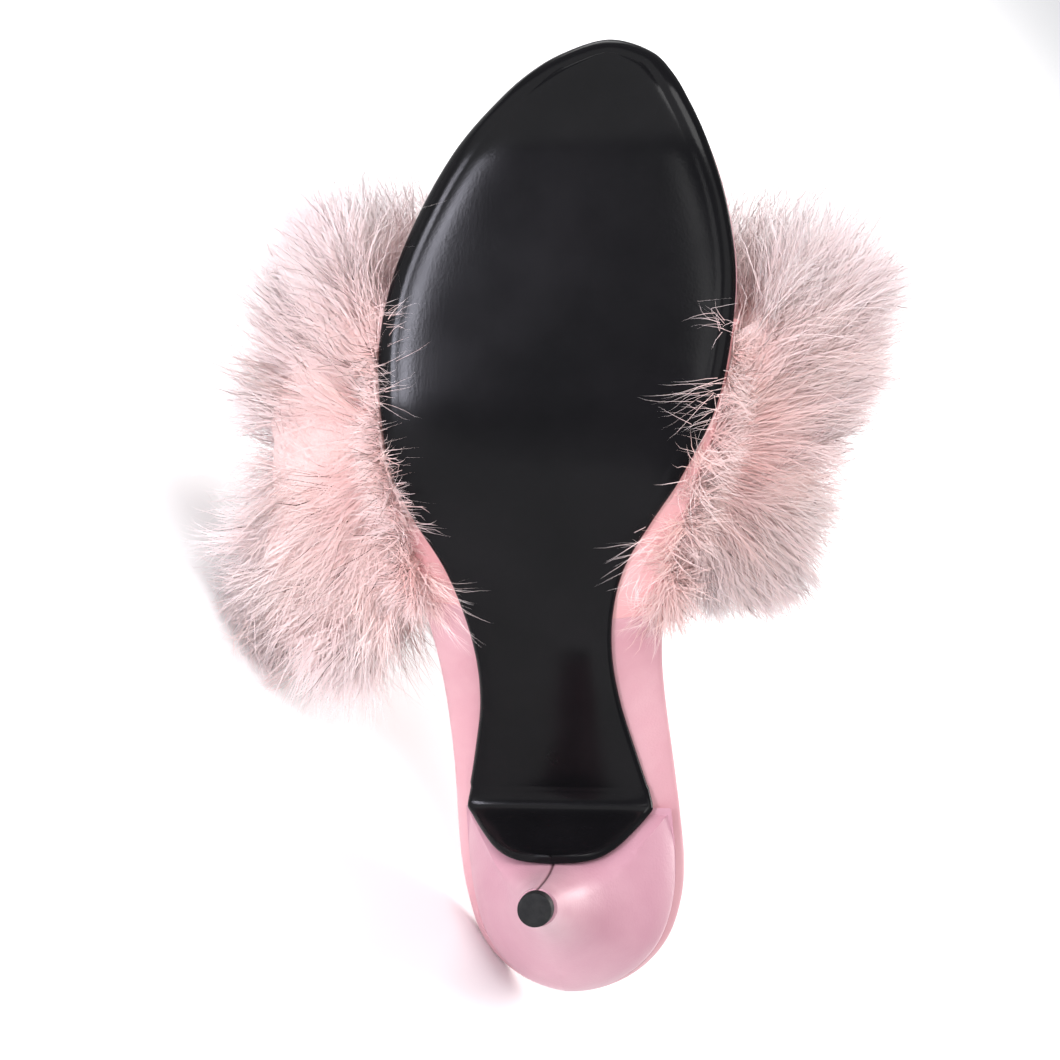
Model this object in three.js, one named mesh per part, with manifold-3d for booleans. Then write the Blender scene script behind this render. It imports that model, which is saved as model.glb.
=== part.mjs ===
// A heeled marabou slipper for the right foot, lying on its outer side.
// Millimetres. Each piece is drawn as if the shoe stood on the ground: X towards the outer side of
// the foot, Y towards the toe, Z up, with the tread of the forefoot at Z = 0 and the back of the
// heel seat at Y = 0. The whole shoe is then laid down on its heel seat and its feathers.

import * as THREE from "three";
import { mergeVertices } from "three/addons/utils/BufferGeometryUtils.js";
import Module from "manifold-3d";

const wasm = await Module();
wasm.setup();

// Driving sizes of the sole
const length = 234;
const ballWidth = 84;
const seatWidth = 58;
const heelHeight = 55;
const toeSpring = 6;
const outsoleThickness = 3.5;
const waistThickness = 2.3;
const edgeBevel = 4.6;
const flapLength = 22;
const flapWidth = 47;
const footbedThickness = 4.5;
const seatThickness = 6.5;
const seatDish = 1.2;
const clearance = 0.4;

// Driving sizes of the upper and its feathers
const upperWall = 1.8;
const lastingLip = 6;
const instepHeight = 57;
const throatHeight = 34;
const bindingWidth = 3;
const bindingRise = 1.2;
const backingClearance = 0.5;
const plumeDepth = 38;
const plumeReach = 60;
const plumeRoundness = 0.68;
const lockLength = 21;
const lockRadius = 7.5;

// Driving sizes of the heel
const stemWidth = 9.6;
const topPieceDiameter = 8.4;
const topPieceHeight = 4.5;

// How the shoe lies: the foot's line rises from the floor, and the sole turns a little upwards.
const lean = THREE.MathUtils.degToRad(36);
const tipBack = THREE.MathUtils.degToRad(15);

// The underside of the footbed: a share of the heel's rise and a share of the toe spring.
const soleLine = [
  { along: 0.0, heel: 1.0, toe: 0 },
  { along: 0.12, heel: 0.965, toe: 0 },
  { along: 0.2, heel: 0.89, toe: 0 },
  { along: 0.3, heel: 0.688, toe: 0 },
  { along: 0.4, heel: 0.397, toe: 0 },
  { along: 0.5, heel: 0.162, toe: 0 },
  { along: 0.58, heel: 0.035, toe: 0 },
  { along: 0.65, heel: 0, toe: 0 },
  { along: 0.876, heel: 0, toe: 0 },
  { along: 0.94, heel: 0, toe: 0.25 },
  { along: 1.0, heel: 0, toe: 1 },
];

// The last place along the foot before the outsole turns down into its flap.
const cornerAlong = 0.235;

// Half widths towards the outer and inner side of the foot, as shares of the breadth there.
const toeTip = { along: 1, outer: -0.202, inner: 0.202 };
const forefootOutline = [
  { along: 0.985, outer: -0.062, inner: 0.325 },
  { along: 0.964, outer: 0.03, inner: 0.381 },
  { along: 0.933, outer: 0.124, inner: 0.433 },
  { along: 0.889, outer: 0.228, inner: 0.488 },
  { along: 0.834, outer: 0.32, inner: 0.535 },
  { along: 0.765, outer: 0.404, inner: 0.561 },
  { along: 0.697, outer: 0.445, inner: 0.548 },
];
const outsoleOutline = [
  toeTip,
  ...forefootOutline,
  { along: 0.629, outer: 0.443, inner: 0.506 },
  { along: 0.561, outer: 0.42, inner: 0.413 },
  { along: 0.515, outer: 0.381, inner: 0.337 },
  { along: 0.469, outer: 0.327, inner: 0.269 },
  { along: 0.422, outer: 0.3, inner: 0.243 },
  { along: 0.374, outer: 0.294, inner: 0.25 },
  { along: 0.324, outer: 0.315, inner: 0.286 },
  { along: 0.274, outer: 0.355, inner: 0.338 },
  { along: cornerAlong, outer: 0.39, inner: 0.381 },
];
const footbedOutline = [
  toeTip,
  ...forefootOutline,
  { along: 0.629, outer: 0.44, inner: 0.519 },
  { along: 0.561, outer: 0.435, inner: 0.463 },
  { along: 0.515, outer: 0.434, inner: 0.437 },
  { along: 0.469, outer: 0.441, inner: 0.422 },
  { along: 0.41, outer: 0.455, inner: 0.423 },
  { along: 0.368, outer: 0.464, inner: 0.437 },
  { along: 0.325, outer: 0.472, inner: 0.46 },
  { along: 0.261, outer: 0.467, inner: 0.486 },
  { along: 0.195, outer: 0.466, inner: 0.51 },
  { along: 0.15, outer: 0.459, inner: 0.522 },
  { along: 0.109, outer: 0.434, inner: 0.512 },
  { along: 0.066, outer: 0.381, inner: 0.46 },
  { along: 0.04, outer: 0.312, inner: 0.388 },
  { along: 0.018, outer: 0.207, inner: 0.278 },
  { along: 0.004, outer: 0.08, inner: 0.146 },
  { along: 0, outer: -0.03, inner: 0.03 },
];

// The flap of the outsole on the breast of the heel: shares of its length and half width, from a
// little before the fold.
const flapOutline = [
  { down: -0.25, half: 0.96 },
  { down: 0.0, half: 1.0 },
  { down: 0.12, half: 0.95 },
  { down: 0.5, half: 0.755 },
  { down: 0.72, half: 0.61 },
  { down: 0.88, half: 0.44 },
  { down: 0.97, half: 0.24 },
  { down: 1.0, half: 0.0 },
];

// The heel from its seat down: the height as a share of the heel height, the back and the breast
// as shares of the length, the width as a share of the seat, and how round the section is.
const heelSections = [
  { height: 1.06, back: 0.004, breast: 0.207, width: 0.955, round: 0 },
  { height: 0.93, back: 0.006, breast: 0.204, width: 0.95, round: 0 },
  { height: 0.87, back: 0.0105, breast: 0.199, width: 0.9, round: 0.03 },
  { height: 0.8, back: 0.02, breast: 0.19, width: 0.8, round: 0.1 },
  { height: 0.72, back: 0.034, breast: 0.176, width: 0.665, round: 0.2 },
  { height: 0.64, back: 0.049, breast: 0.163, width: 0.53, round: 0.35 },
  { height: 0.55, back: 0.064, breast: 0.153, width: 0.4, round: 0.5 },
  { height: 0.45, back: 0.078, breast: 0.148, width: 0.295, round: 0.7 },
  { height: 0.34, back: 0.089, breast: 0.1455, width: 0.22, round: 0.85 },
  { height: 0.22, back: 0.098, breast: 0.1445, width: 0.177, round: 1 },
  { height: 0.085, back: 0.1055, breast: 0.1438, width: 0.156, round: 1 },
];

// Where the upper starts and ends along the foot, at the sole of each side and over the instep.
const vampEdges = [
  { turn: 0.0, front: 0.731, rear: 0.427 },
  { turn: 0.25, front: 0.735, rear: 0.41 },
  { turn: 0.5, front: 0.738, rear: 0.388 },
  { turn: 0.75, front: 0.727, rear: 0.396 },
  { turn: 1.0, front: 0.718, rear: 0.414 },
];

// Height of the upper's ridge over the footbed, between the throat and the instep height.
const ridgeLine = [
  { along: 0.35, share: 1.04 },
  { along: 0.42, share: 0.98 },
  { along: 0.5, share: 0.8 },
  { along: 0.6, share: 0.42 },
  { along: 0.735, share: 0 },
];

// The feathers round the vamp: their depth, and their reach behind and ahead of its middle.
const plumeSections = [
  { turn: 0.0, depth: 1.22, behind: 1.02, ahead: 0.84, slant: 0.52 },
  { turn: 0.18, depth: 1.2, behind: 1.02, ahead: 0.84, slant: 0.54 },
  { turn: 0.34, depth: 0.92, behind: 0.98, ahead: 0.76, slant: 0.5 },
  { turn: 0.5, depth: 0.52, behind: 0.6, ahead: 0.66, slant: 0.05 },
  { turn: 0.8, depth: 0.92, behind: 0.6, ahead: 0.84, slant: 0 },
  { turn: 1.0, depth: 0.95, behind: 0.58, ahead: 0.86, slant: 0 },
];

// Colours
const blackLeather = new THREE.MeshStandardMaterial({ color: 0x0b0b0c, roughness: 0.35 });
const pinkLeather = new THREE.MeshStandardMaterial({ color: 0xefa3b8, roughness: 0.45 });
const pinkVamp = new THREE.MeshStandardMaterial({ color: 0xe58f9d, roughness: 0.55 });
const pinkFeather = new THREE.MeshStandardMaterial({ color: 0xf6c3c3, roughness: 0.95 });
const blackRubber = new THREE.MeshStandardMaterial({ color: 0x141414, roughness: 0.6 });

const lerp = THREE.MathUtils.lerp;
const clamp = THREE.MathUtils.clamp;

// A column of a table as a smooth function of another column, which never overshoots its rows.
function columnOf(table, by, column) {
  const rows = [...table].sort((a, b) => a[by] - b[by]);
  const steps = rows.slice(1).map((row, i) => (row[column] - rows[i][column]) / (row[by] - rows[i][by]));
  const slopes = rows.map((row, i) => {
    const before = steps[Math.max(i - 1, 0)];
    const after = steps[Math.min(i, steps.length - 1)];
    return before * after <= 0 ? 0 : (2 * before * after) / (before + after);
  });
  return (at) => {
    const held = clamp(at, rows[0][by], rows.at(-1)[by]);
    const i = Math.max(0, rows.findIndex((row, k) => k > 0 && row[by] >= held) - 1);
    const span = rows[i + 1][by] - rows[i][by];
    const t = (held - rows[i][by]) / span;
    const rise = rows[i + 1][column] - rows[i][column];
    const bend = (1 - t) * (slopes[i] * span - rise) + t * (rise - slopes[i + 1] * span);
    return rows[i][column] + t * rise + t * (1 - t) * bend;
  };
}

// A closed body becomes a solid for joining and cutting, and a solid becomes geometry again.
function solidOf(geometry) {
  const bare = geometry.clone();
  bare.deleteAttribute("normal");
  bare.deleteAttribute("uv");
  const merged = mergeVertices(bare, 1e-4);
  const index = merged.index.array;
  const kept = [];
  for (let i = 0; i < index.length; i += 3) {
    const [a, b, c] = index.slice(i, i + 3);
    if (a !== b && b !== c && c !== a) kept.push(a, b, c);
  }
  const vertProperties = merged.attributes.position.array;
  const triVerts = new Uint32Array(kept);
  return new wasm.Manifold(new wasm.Mesh({ numProp: 3, vertProperties, triVerts }));
}

function geometryOf(solid) {
  const mesh = solid.getMesh();
  const geometry = new THREE.BufferGeometry();
  geometry.setAttribute("position", new THREE.BufferAttribute(mesh.vertProperties, mesh.numProp));
  geometry.setIndex(new THREE.BufferAttribute(mesh.triVerts, 1));
  return geometry;
}

// Quads between neighbouring rings of points, with both end rings closed by strips across them.
function loft(rings) {
  const count = rings[0].length;
  const index = [];
  const at = (ring, k) => ring * count + (k % count);
  for (let r = 0; r + 1 < rings.length; r += 1) {
    for (let k = 0; k < count; k += 1) {
      index.push(at(r, k), at(r + 1, k + 1), at(r + 1, k));
      index.push(at(r, k), at(r, k + 1), at(r + 1, k + 1));
    }
  }
  const last = rings.length - 1;
  for (let k = 0; k < count / 2 - 1; k += 1) {
    const mate = count - 1 - k;
    index.push(at(0, k), at(0, mate), at(0, k + 1));
    index.push(at(last, k), at(last, k + 1), at(last, mate));
    if (mate - 1 === k + 1) continue;
    index.push(at(0, k + 1), at(0, mate), at(0, mate - 1));
    index.push(at(last, k + 1), at(last, mate - 1), at(last, mate));
  }
  const geometry = new THREE.BufferGeometry().setFromPoints(rings.flat());
  geometry.setIndex(index);
  const solid = solidOf(geometry);
  return solid.volume() < 0 ? solidOf(turnedOut(geometry)) : solid;
}

// The same faces seen from the other side.
function turnedOut(geometry) {
  const index = geometry.index.array;
  for (let i = 0; i < index.length; i += 3) {
    [index[i + 1], index[i + 2]] = [index[i + 2], index[i + 1]];
  }
  return geometry;
}

// The foot's line: the underside of the footbed, its direction and the way up from it.
const heelShare = columnOf(soleLine, "along", "heel");
const toeShare = columnOf(soleLine, "along", "toe");
const seatHeight = (along) =>
  outsoleThickness + (heelHeight - outsoleThickness) * heelShare(along) + toeSpring * toeShare(along);

function upAt(along) {
  const step = 0.004;
  const ahead = Math.min(along + step, 1);
  const behind = Math.max(along - step, 0);
  const slope = (seatHeight(ahead) - seatHeight(behind)) / ((ahead - behind) * length);
  return new THREE.Vector3(0, -slope, 1).normalize();
}

// A point at a share of the length, a distance across the foot and a height over the footbed's line.
function onFoot(along, across, height) {
  const base = new THREE.Vector3(across, along * length, seatHeight(along));
  return base.addScaledVector(upAt(along), height);
}

// The breadth that the outlines are shares of: the seat's behind, the ball's in front.
function breadthAt(along) {
  return lerp(seatWidth, ballWidth, THREE.MathUtils.smoothstep(along, 0.3, 0.6));
}

// One side of an outline as a smooth curve in plan, from the toe backwards. It runs on smoothly
// into the other side at the toe, and at the back where the outline closes there.
const closesBehind = (outline) => outline.at(-1).along === 0;

function sideCurve(outline, side) {
  const pointOf = (row, towards) => {
    const across = (towards > 0 ? row.outer : -row.inner) * breadthAt(row.along);
    return new THREE.Vector3(across, row.along * length, 0);
  };
  const points = [pointOf(outline[1], -side), ...outline.map((row) => pointOf(row, side))];
  if (closesBehind(outline)) points.push(pointOf(outline.at(-2), -side));
  const curve = new THREE.CatmullRomCurve3(points, false, "centripetal");
  const shareOf = (t) => lerp(1, outline.length, t) / (points.length - 1);
  return { pointAt: (t) => curve.getPoint(shareOf(t)), wayAt: (t) => curve.getTangent(shareOf(t)) };
}

// Stations along both sides of an outline, each with its point and the way outwards.
function stationsOf(outline, count) {
  const sides = [1, -1].map((side) => ({ side, curve: sideCurve(outline, side) }));
  return Array.from({ length: count + 1 }, (_, i) =>
    sides.map(({ side, curve }) => {
      const t = 0.5 - 0.5 * Math.cos((Math.PI * i) / count);
      const spread = lerp(i / count, t, 0.6);
      const point = curve.pointAt(spread);
      const tangent = curve.wayAt(spread);
      const tip = i === 0 || (i === count && closesBehind(outline));
      const outwards = new THREE.Vector3(-tangent.y, tangent.x, 0).multiplyScalar(side);
      if (tip) outwards.set(0, i === 0 ? 1 : -1, 0);
      return { side, point, outwards: outwards.normalize() };
    }),
  );
}

// Half width of an outline at a share of the length.
function halfWidthAt(outline, side) {
  const curve = sideCurve(outline, side);
  const parts = 160;
  const samples = Array.from({ length: parts + 1 }, (_, i) => {
    const point = curve.pointAt(i / parts);
    return { along: -point.y, half: point.x * side };
  });
  const read = columnOf(samples, "along", "half");
  return (along) => read(-along * length);
}

const soleHalf = { 1: halfWidthAt(outsoleOutline, 1), [-1]: halfWidthAt(outsoleOutline, -1) };
const bedHalf = { 1: halfWidthAt(footbedOutline, 1), [-1]: halfWidthAt(footbedOutline, -1) };

// Black outsole: a plate cut to its outline, bent along the foot's line, with a bevelled edge,
// whose rear end turns down over the breast of the heel as a flap with a round end.
const breastLine = heelSections.slice(0, 8).map((row) => ({
  height: row.height * heelHeight,
  back: row.breast * length,
}));
const breastBack = columnOf(breastLine, "height", "back");

function breastAt(down) {
  const top = seatHeight(heelSections[0].breast);
  const steps = 60;
  const searched = 1.4 * flapLength;
  let point = new THREE.Vector3(0, breastBack(top), top);
  let left = down;
  for (let i = 1; i <= steps && left > 0; i += 1) {
    const height = top - (i * searched) / steps;
    const next = new THREE.Vector3(0, breastBack(height), height);
    const piece = next.distanceTo(point);
    point = piece > left ? point.lerp(next, left / piece) : next;
    left -= piece;
  }
  return point;
}

// The middle of the outsole's upper side, from its waist over a round fold and down the breast.
const foldRound = 4;

function foldPoint(run) {
  const parts = 8;
  const mean = new THREE.Vector3();
  for (let i = 0; i <= parts; i += 1) {
    const at = run + lerp(-foldRound, foldRound, i / parts);
    mean.add(at < 0 ? onFoot(heelSections[0].breast - at / length, 0, 0) : breastAt(at));
  }
  return mean.divideScalar(parts + 1);
}

function makeOutsole() {
  const levels = [
    { inset: 0.12, depth: 0 },
    { inset: 0, depth: 0.3 },
    { inset: 0.22, depth: 0.72 },
    { inset: 0.58, depth: 0.94 },
    { inset: 1, depth: 1 },
  ];
  const thicknessAt = (along) =>
    lerp(waistThickness, outsoleThickness, THREE.MathUtils.smoothstep(along, 0.45, 0.62));
  const bevelAt = (along) => lerp(0.35, 1, THREE.MathUtils.smoothstep(along, 0.4, 0.62)) * edgeBevel;
  const rings = stationsOf(outsoleOutline, 38).map((pair) => {
    const halves = pair.map(({ point, outwards }) =>
      levels.map(({ inset, depth }) => {
        const along = point.y / length;
        const edge = point.clone().addScaledVector(outwards, -inset * bevelAt(along));
        const drop = lerp(clearance, thicknessAt(along), depth);
        return onFoot(Math.min(edge.y / length, 1), edge.x, -drop);
      }),
    );
    return [...halves[0], ...halves[1].reverse()];
  });

  const halfAt = columnOf(flapOutline, "down", "half");
  const foldStations = 4;
  const flapStations = 12;
  for (let i = -foldStations; i <= flapStations; i += 1) {
    const beforeFold = (-i / foldStations) * flapOutline[0].down;
    const down = i < 0 ? beforeFold : Math.sin((Math.PI / 2) * (i / flapStations)) ** 1.2;
    const run = down * flapLength;
    const tangent = foldPoint(run + 0.5).sub(foldPoint(run - 0.5)).normalize();
    const way = new THREE.Vector3(0, -tangent.z, tangent.y);
    const half = (halfAt(down) * flapWidth) / 2;
    const inset = Math.min(0.35 * edgeBevel, half);
    const halves = [1, -1].map((side) =>
      levels.map((level) => {
        const across = side * (half - level.inset * inset);
        const drop = lerp(clearance, waistThickness, level.depth);
        return foldPoint(run).addScaledVector(way, drop).setX(across);
      }),
    );
    rings.push([...halves[0], ...halves[1].reverse()]);
  }
  return loft(rings);
}

// The side of the footbed in section, from its flat underside up and out to its rim. At the waist
// the rim stands well out over the sole, and in front it lies just over the sole's edge.
function sideProfile(along, side) {
  const rim = bedHalf[side](along);
  const flat = Math.min(soleHalf[side](Math.max(along, cornerAlong)) - 0.5, rim - 1.8);
  const rimHeight = bedThickness(along) * 0.52;
  return [
    { across: flat, height: 0 },
    { across: lerp(flat, rim, 0.55), height: rimHeight * 0.42 },
    { across: rim, height: rimHeight },
  ];
}

const bedThickness = (along) =>
  lerp(seatThickness, footbedThickness, THREE.MathUtils.smoothstep(along, 0.35, 0.62));

// Pink footbed: a padded board with rounded sides, dished at the heel seat. Where the upper wraps
// round it, it steps in by the upper's wall.
function footbedPlate(wrap) {
  const rings = stationsOf(footbedOutline, 34).map((pair) => {
    const halves = pair.map(({ side, point, outwards }) => {
      const along = point.y / length;
      const thick = bedThickness(along);
      const rim = bedHalf[side](along);
      const dish = seatDish * (1 - THREE.MathUtils.smoothstep(along, 0.2, 0.4));
      const line = sideProfile(along, side).map(({ across, height }) => ({
        point: new THREE.Vector2(across, height),
      }));
      const inboard = { point: new THREE.Vector2(line[0].point.x - lastingLip, 0) };
      const above = { point: new THREE.Vector2(rim, thick) };
      const profile = offsetLine([inboard, ...line, above], wrap)
        .slice(1, -1)
        .map((node) => ({ inset: rim - Math.min(node.point.x, rim - wrap), height: node.point.y }));
      profile.push({ inset: 0.6 + wrap, height: thick - 0.8 });
      profile.push({ inset: 2.2 + wrap, height: thick });
      profile.push({ inset: 9 + wrap, height: thick - 0.5 * dish });
      return profile.map(({ inset, height }) => {
        const edge = point.clone().addScaledVector(outwards, -inset);
        return onFoot(clamp(edge.y / length, 0, 1), edge.x, height);
      });
    });
    return [...halves[0], ...halves[1].reverse()];
  });
  return loft(rings);
}

// The rows of the vamp's edges and of its ridge as smooth functions.
const frontAt = columnOf(vampEdges, "turn", "front");
const rearAt = columnOf(vampEdges, "turn", "rear");
const ridgeShare = columnOf(ridgeLine, "along", "share");

// The vamp's ridge lies a little to the inner side of the foot's middle.
const ridgeOffset = -0.05;

// The upper in section at a share of the length. Turn 0 is the rim of the outer side and turn 1
// that of the inner side, with the ridge halfway.
function archPoint(along, turn) {
  const side = turn <= 0.5 ? 1 : -1;
  const rim = sideProfile(along, side).at(-1);
  const ridgeAcross = ridgeOffset * breadthAt(along);
  const bed = bedThickness(along);
  const top = bed + lerp(throatHeight, instepHeight, ridgeShare(along)) + upperWall;
  const angle = (side > 0 ? turn : 1 - turn) * Math.PI;
  const out = side * rim.across - ridgeAcross;
  const across = ridgeAcross + out * Math.cos(angle) ** 0.82;
  const height = rim.height + (top - rim.height) * Math.sin(angle) ** 0.94;
  return new THREE.Vector2(across, height);
}

const archParts = 20;
const archTurns = Array.from({ length: archParts - 1 }, (_, k) => {
  const t = (k + 1) / archParts;
  return lerp(t, 0.5 - 0.5 * Math.cos(Math.PI * t), 0.5);
});

// The upper's outer line in one section: the lip under the footbed, the side and the arch.
function sectionLine(alongOf) {
  const under = (side, turn) => {
    const along = alongOf(turn);
    const profile = sideProfile(along, side);
    const lip = { across: profile[0].across - lastingLip, height: 0 };
    return [lip, ...profile].map(({ across, height }) => ({
      along,
      turn,
      point: new THREE.Vector2(side * across, height),
    }));
  };
  const arch = archTurns.map((turn) => {
    const along = alongOf(turn);
    return { along, turn, point: archPoint(along, turn) };
  });
  return [...under(1, 0), ...arch, ...under(-1, 1).reverse()];
}

// Moves a line of section points sideways, along the mean normal of its neighbours.
function offsetLine(line, distance) {
  return line.map((node, k) => {
    const before = line[Math.max(k - 1, 0)].point;
    const after = line[Math.min(k + 1, line.length - 1)].point;
    const first = node.point.clone().sub(before).normalize();
    const second = after.clone().sub(node.point).normalize();
    if (k === 0) first.copy(second);
    if (k === line.length - 1) second.copy(first);
    const mean = first.clone().add(second).normalize();
    const stretch = Math.min(1 / Math.max(mean.dot(second), 0.5), 1.4);
    const inwards = new THREE.Vector2(-mean.y, mean.x);
    return { ...node, point: node.point.clone().addScaledVector(inwards, distance * stretch) };
  });
}

const lineOnFoot = (line) => line.map(({ along, point }) => onFoot(along, point.x, point.y));

// Rows of the upper from its front edge to its rear edge, with a raised binding along both.
const bindingShare = bindingWidth / length;
const middleShares = [0.16, 0.3, 0.44, 0.58, 0.72, 0.86];
function vampRows(beyond) {
  const edge = (inwards, rise) => ({ inwards, rise });
  const binding = [edge(-beyond / bindingWidth, 0.55), edge(0.25, 1), edge(0.8, 1), edge(1.05, 0)];
  const front = binding.map(({ inwards, rise }) => ({ share: 0, front: inwards, rise }));
  const middle = middleShares.map((share) => ({ share, rise: 0 }));
  const rear = binding.map(({ inwards, rise }) => ({ share: 1, rear: inwards, rise })).reverse();
  return [...front, ...middle, ...rear];
}

const alongRow = (row) => (turn) => {
  const front = frontAt(turn) - (row.front ?? 0) * bindingShare;
  const rear = rearAt(turn) + (row.rear ?? 0) * bindingShare;
  return lerp(front, rear, row.share);
};

// The wall of the upper as a thick sheet: outer skin, lining side and the four edges. A swell sets
// its outer skin further out, for the room that it takes in what lies on it.
function makeUpper(swell) {
  const rings = vampRows(swell).map((row) => {
    const line = sectionLine(alongRow(row));
    const outwards = offsetLine(line, -1).map((node, k) => node.point.sub(line[k].point));
    const raised = line.map((node, k) => {
      const onArch = node.point.y > bedThickness(node.along) ? 1 : 0;
      const out = row.rise * bindingRise * onArch + swell;
      return { ...node, point: node.point.clone().addScaledVector(outwards[k], out) };
    });
    return [...lineOnFoot(raised), ...lineOnFoot(offsetLine(line, upperWall)).reverse()];
  });
  return loft(rings);
}

// The room for the foot, which fills the vamp and reaches a little out of both its mouths.
function makeFootRoom(swell) {
  const rings = vampRows(bindingWidth).map((row) => {
    const line = sectionLine(alongRow(row));
    return lineOnFoot(offsetLine(line, -swell));
  });
  return loft(rings);
}

// The room that the upper takes where it wraps the footbed, on both sides of the foot.
function wrapZone() {
  const sides = [0, 1].map((turn) => {
    const front = frontAt(turn) * length + clearance;
    const rear = rearAt(turn) * length - clearance;
    const zone = new THREE.BoxGeometry(ballWidth, front - rear, 4 * heelHeight);
    zone.translate((turn === 0 ? 0.5 : -0.5) * ballWidth, (front + rear) / 2, 0);
    return solidOf(zone);
  });
  return sides[0].add(sides[1]);
}

// Marabou: a deep roll of feathers over the whole vamp between its bindings.
const plumeColumn = (column) => columnOf(plumeSections, "turn", column);
const plume = {
  depth: plumeColumn("depth"),
  behind: plumeColumn("behind"),
  ahead: plumeColumn("ahead"),
  slant: plumeColumn("slant"),
};
const plumeTurns = [0, ...archTurns, 1];

// A point within the wall of the upper, where the feathers' backing meets it.
function skinPoint(row, turn) {
  const at = alongRow(row)(turn);
  const step = 0.004;
  const here = archPoint(at, turn);
  const before = archPoint(at, Math.max(turn - step, 0));
  const after = archPoint(at, Math.min(turn + step, 1));
  const tangent = after.sub(before).normalize();
  here.addScaledVector(new THREE.Vector2(-tangent.y, tangent.x), 0.5 * upperWall);
  return onFoot(at, here.x, here.y);
}

const plumeFront = { share: 0, front: 1.2 };
const plumeRear = { share: 1, rear: 1.2 };

// The feathers stand out from a line under the foot, at this share of its length.
const plumeCentre = 0.57;

// The frame of the feather roll at a turn: the middle of the vamp, the way ahead and the way out.
function plumeFrame(turn) {
  const rear = skinPoint(plumeRear, turn);
  const front = skinPoint(plumeFront, turn);
  const middle = front.clone().add(rear).multiplyScalar(0.5);
  const ahead = front.clone().sub(rear).normalize();
  const core = onFoot(plumeCentre, ridgeOffset * ballWidth, -footbedThickness);
  const out = middle.clone().sub(core);
  out.addScaledVector(ahead, -out.dot(ahead)).normalize();
  const bulge = skinPoint({ share: 0.5 }, turn).sub(middle).dot(out);
  middle.addScaledVector(out, Math.max(bulge, 0));
  return { middle, ahead, out };
}

// The roll is widest at this share of its depth.
const plumeMiddle = 0.53;

function plumePoint(turn, angle, scale) {
  const { middle, ahead, out } = plumeFrame(turn);
  const depth = plume.depth(turn) * plumeDepth * scale;
  const reach = (Math.cos(angle) > 0 ? plume.behind(turn) : plume.ahead(turn)) * plumeReach * scale;
  const round = (value) => Math.sign(value) * Math.abs(value) ** plumeRoundness;
  const away = -round(Math.cos(angle)) * reach;
  const slant = 1 + plume.slant(turn) * Math.cos(angle);
  const lift = lerp(plumeMiddle, 1, round(Math.sin(angle))) * depth * slant;
  return middle.clone().addScaledVector(ahead, away).addScaledVector(out, lift);
}

// The outer line of the roll starts and ends at this angle, in degrees, under its widest places.
const plumeStart = -42;

function plumeRing(turn, scale) {
  const rows = [plumeFront, ...middleShares.map((share) => ({ share })), plumeRear];
  const ring = rows.map((row) => skinPoint(row, turn));
  const outerPoints = 12;
  const start = THREE.MathUtils.degToRad(plumeStart);
  for (let i = 0; i < outerPoints; i += 1) {
    const angle = start + ((Math.PI - 2 * start) * i) / (outerPoints - 1);
    ring.push(plumePoint(turn, angle, scale));
  }
  return ring;
}

// One lock of down: a tapered bent cone whose root is sunk in the roll.
function lock(root, way, bendWay, size, radius) {
  const rows = [
    { out: -0.5, radius: 0.8 },
    { out: 0.1, radius: 1 },
    { out: 0.62, radius: 0.6 },
    { out: 1, radius: 0 },
  ];
  const sides = 6;
  const across = new THREE.Vector3().crossVectors(way, bendWay).normalize();
  const upwards = new THREE.Vector3().crossVectors(across, way).normalize();
  const rings = rows.map((row) => {
    const bend = Math.max(row.out, 0) ** 2 * 0.3 * size;
    const middle = root.clone().addScaledVector(way, row.out * size).addScaledVector(bendWay, bend);
    return Array.from({ length: sides }, (_, k) => {
      const angle = (2 * Math.PI * k) / sides;
      const point = middle.clone().addScaledVector(across, Math.cos(angle) * row.radius * radius);
      return point.addScaledVector(upwards, Math.sin(angle) * row.radius * radius);
    });
  });
  return loft(rings);
}

// Even but irregular values between -1 and 1, the same on every run.
function scatter(seed) {
  const value = Math.sin(seed * 12.9898) * 43758.5453;
  return 2 * (value - Math.floor(value)) - 1;
}

// Locks stand in rows round the vamp and over the roll, each a little off its place.
const locksAround = 13;
const locksOver = 6;

function makePlumeLocks() {
  const locks = [];
  for (let i = 0; i < locksAround; i += 1) {
    for (let j = 0; j < locksOver; j += 1) {
      const seed = i * locksOver + j + 1;
      const turn = clamp((i + 0.5 + 0.3 * scatter(seed)) / locksAround, 0.01, 0.99);
      const angle = Math.PI * lerp(-0.16, 1.16, (j + 0.5 + 0.3 * scatter(seed + 0.4)) / locksOver);
      const root = plumePoint(turn, angle, 0.93);
      const { middle, out } = plumeFrame(turn);
      const core = middle.clone().addScaledVector(out, 0.3 * plumeDepth);
      const way = root.clone().sub(core).normalize();
      way.x += 0.3 * scatter(seed + 0.7);
      way.y += 0.3 * scatter(seed + 0.9);
      way.z += 0.3 * scatter(seed + 0.2);
      way.normalize();
      const bendWay = new THREE.Vector3(scatter(seed + 0.1), scatter(seed + 0.6), scatter(seed + 0.8) - 0.4);
      const size = lockLength * (0.95 + 0.25 * scatter(seed + 0.3));
      const radius = lockRadius * (1 + 0.2 * scatter(seed + 0.5));
      locks.push(lock(root, way, bendWay.normalize(), size, radius));
    }
  }
  return locks;
}

function makePlume() {
  const rings = plumeTurns.map((turn, i) => {
    const atEnd = i === 0 || i === plumeTurns.length - 1;
    return plumeRing(turn, atEnd ? 0.92 : 1);
  });
  return wasm.Manifold.union([loft(rings), ...makePlumeLocks()]);
}

// Heel: a covered block, wide as a cup under the seat and drawn in to a thin stem. Its middle lies
// a little to the inner side, and its cup stands just inside the footbed's rim.
const heelOffset = -0.014;
const cupShare = 0.965;

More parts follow.
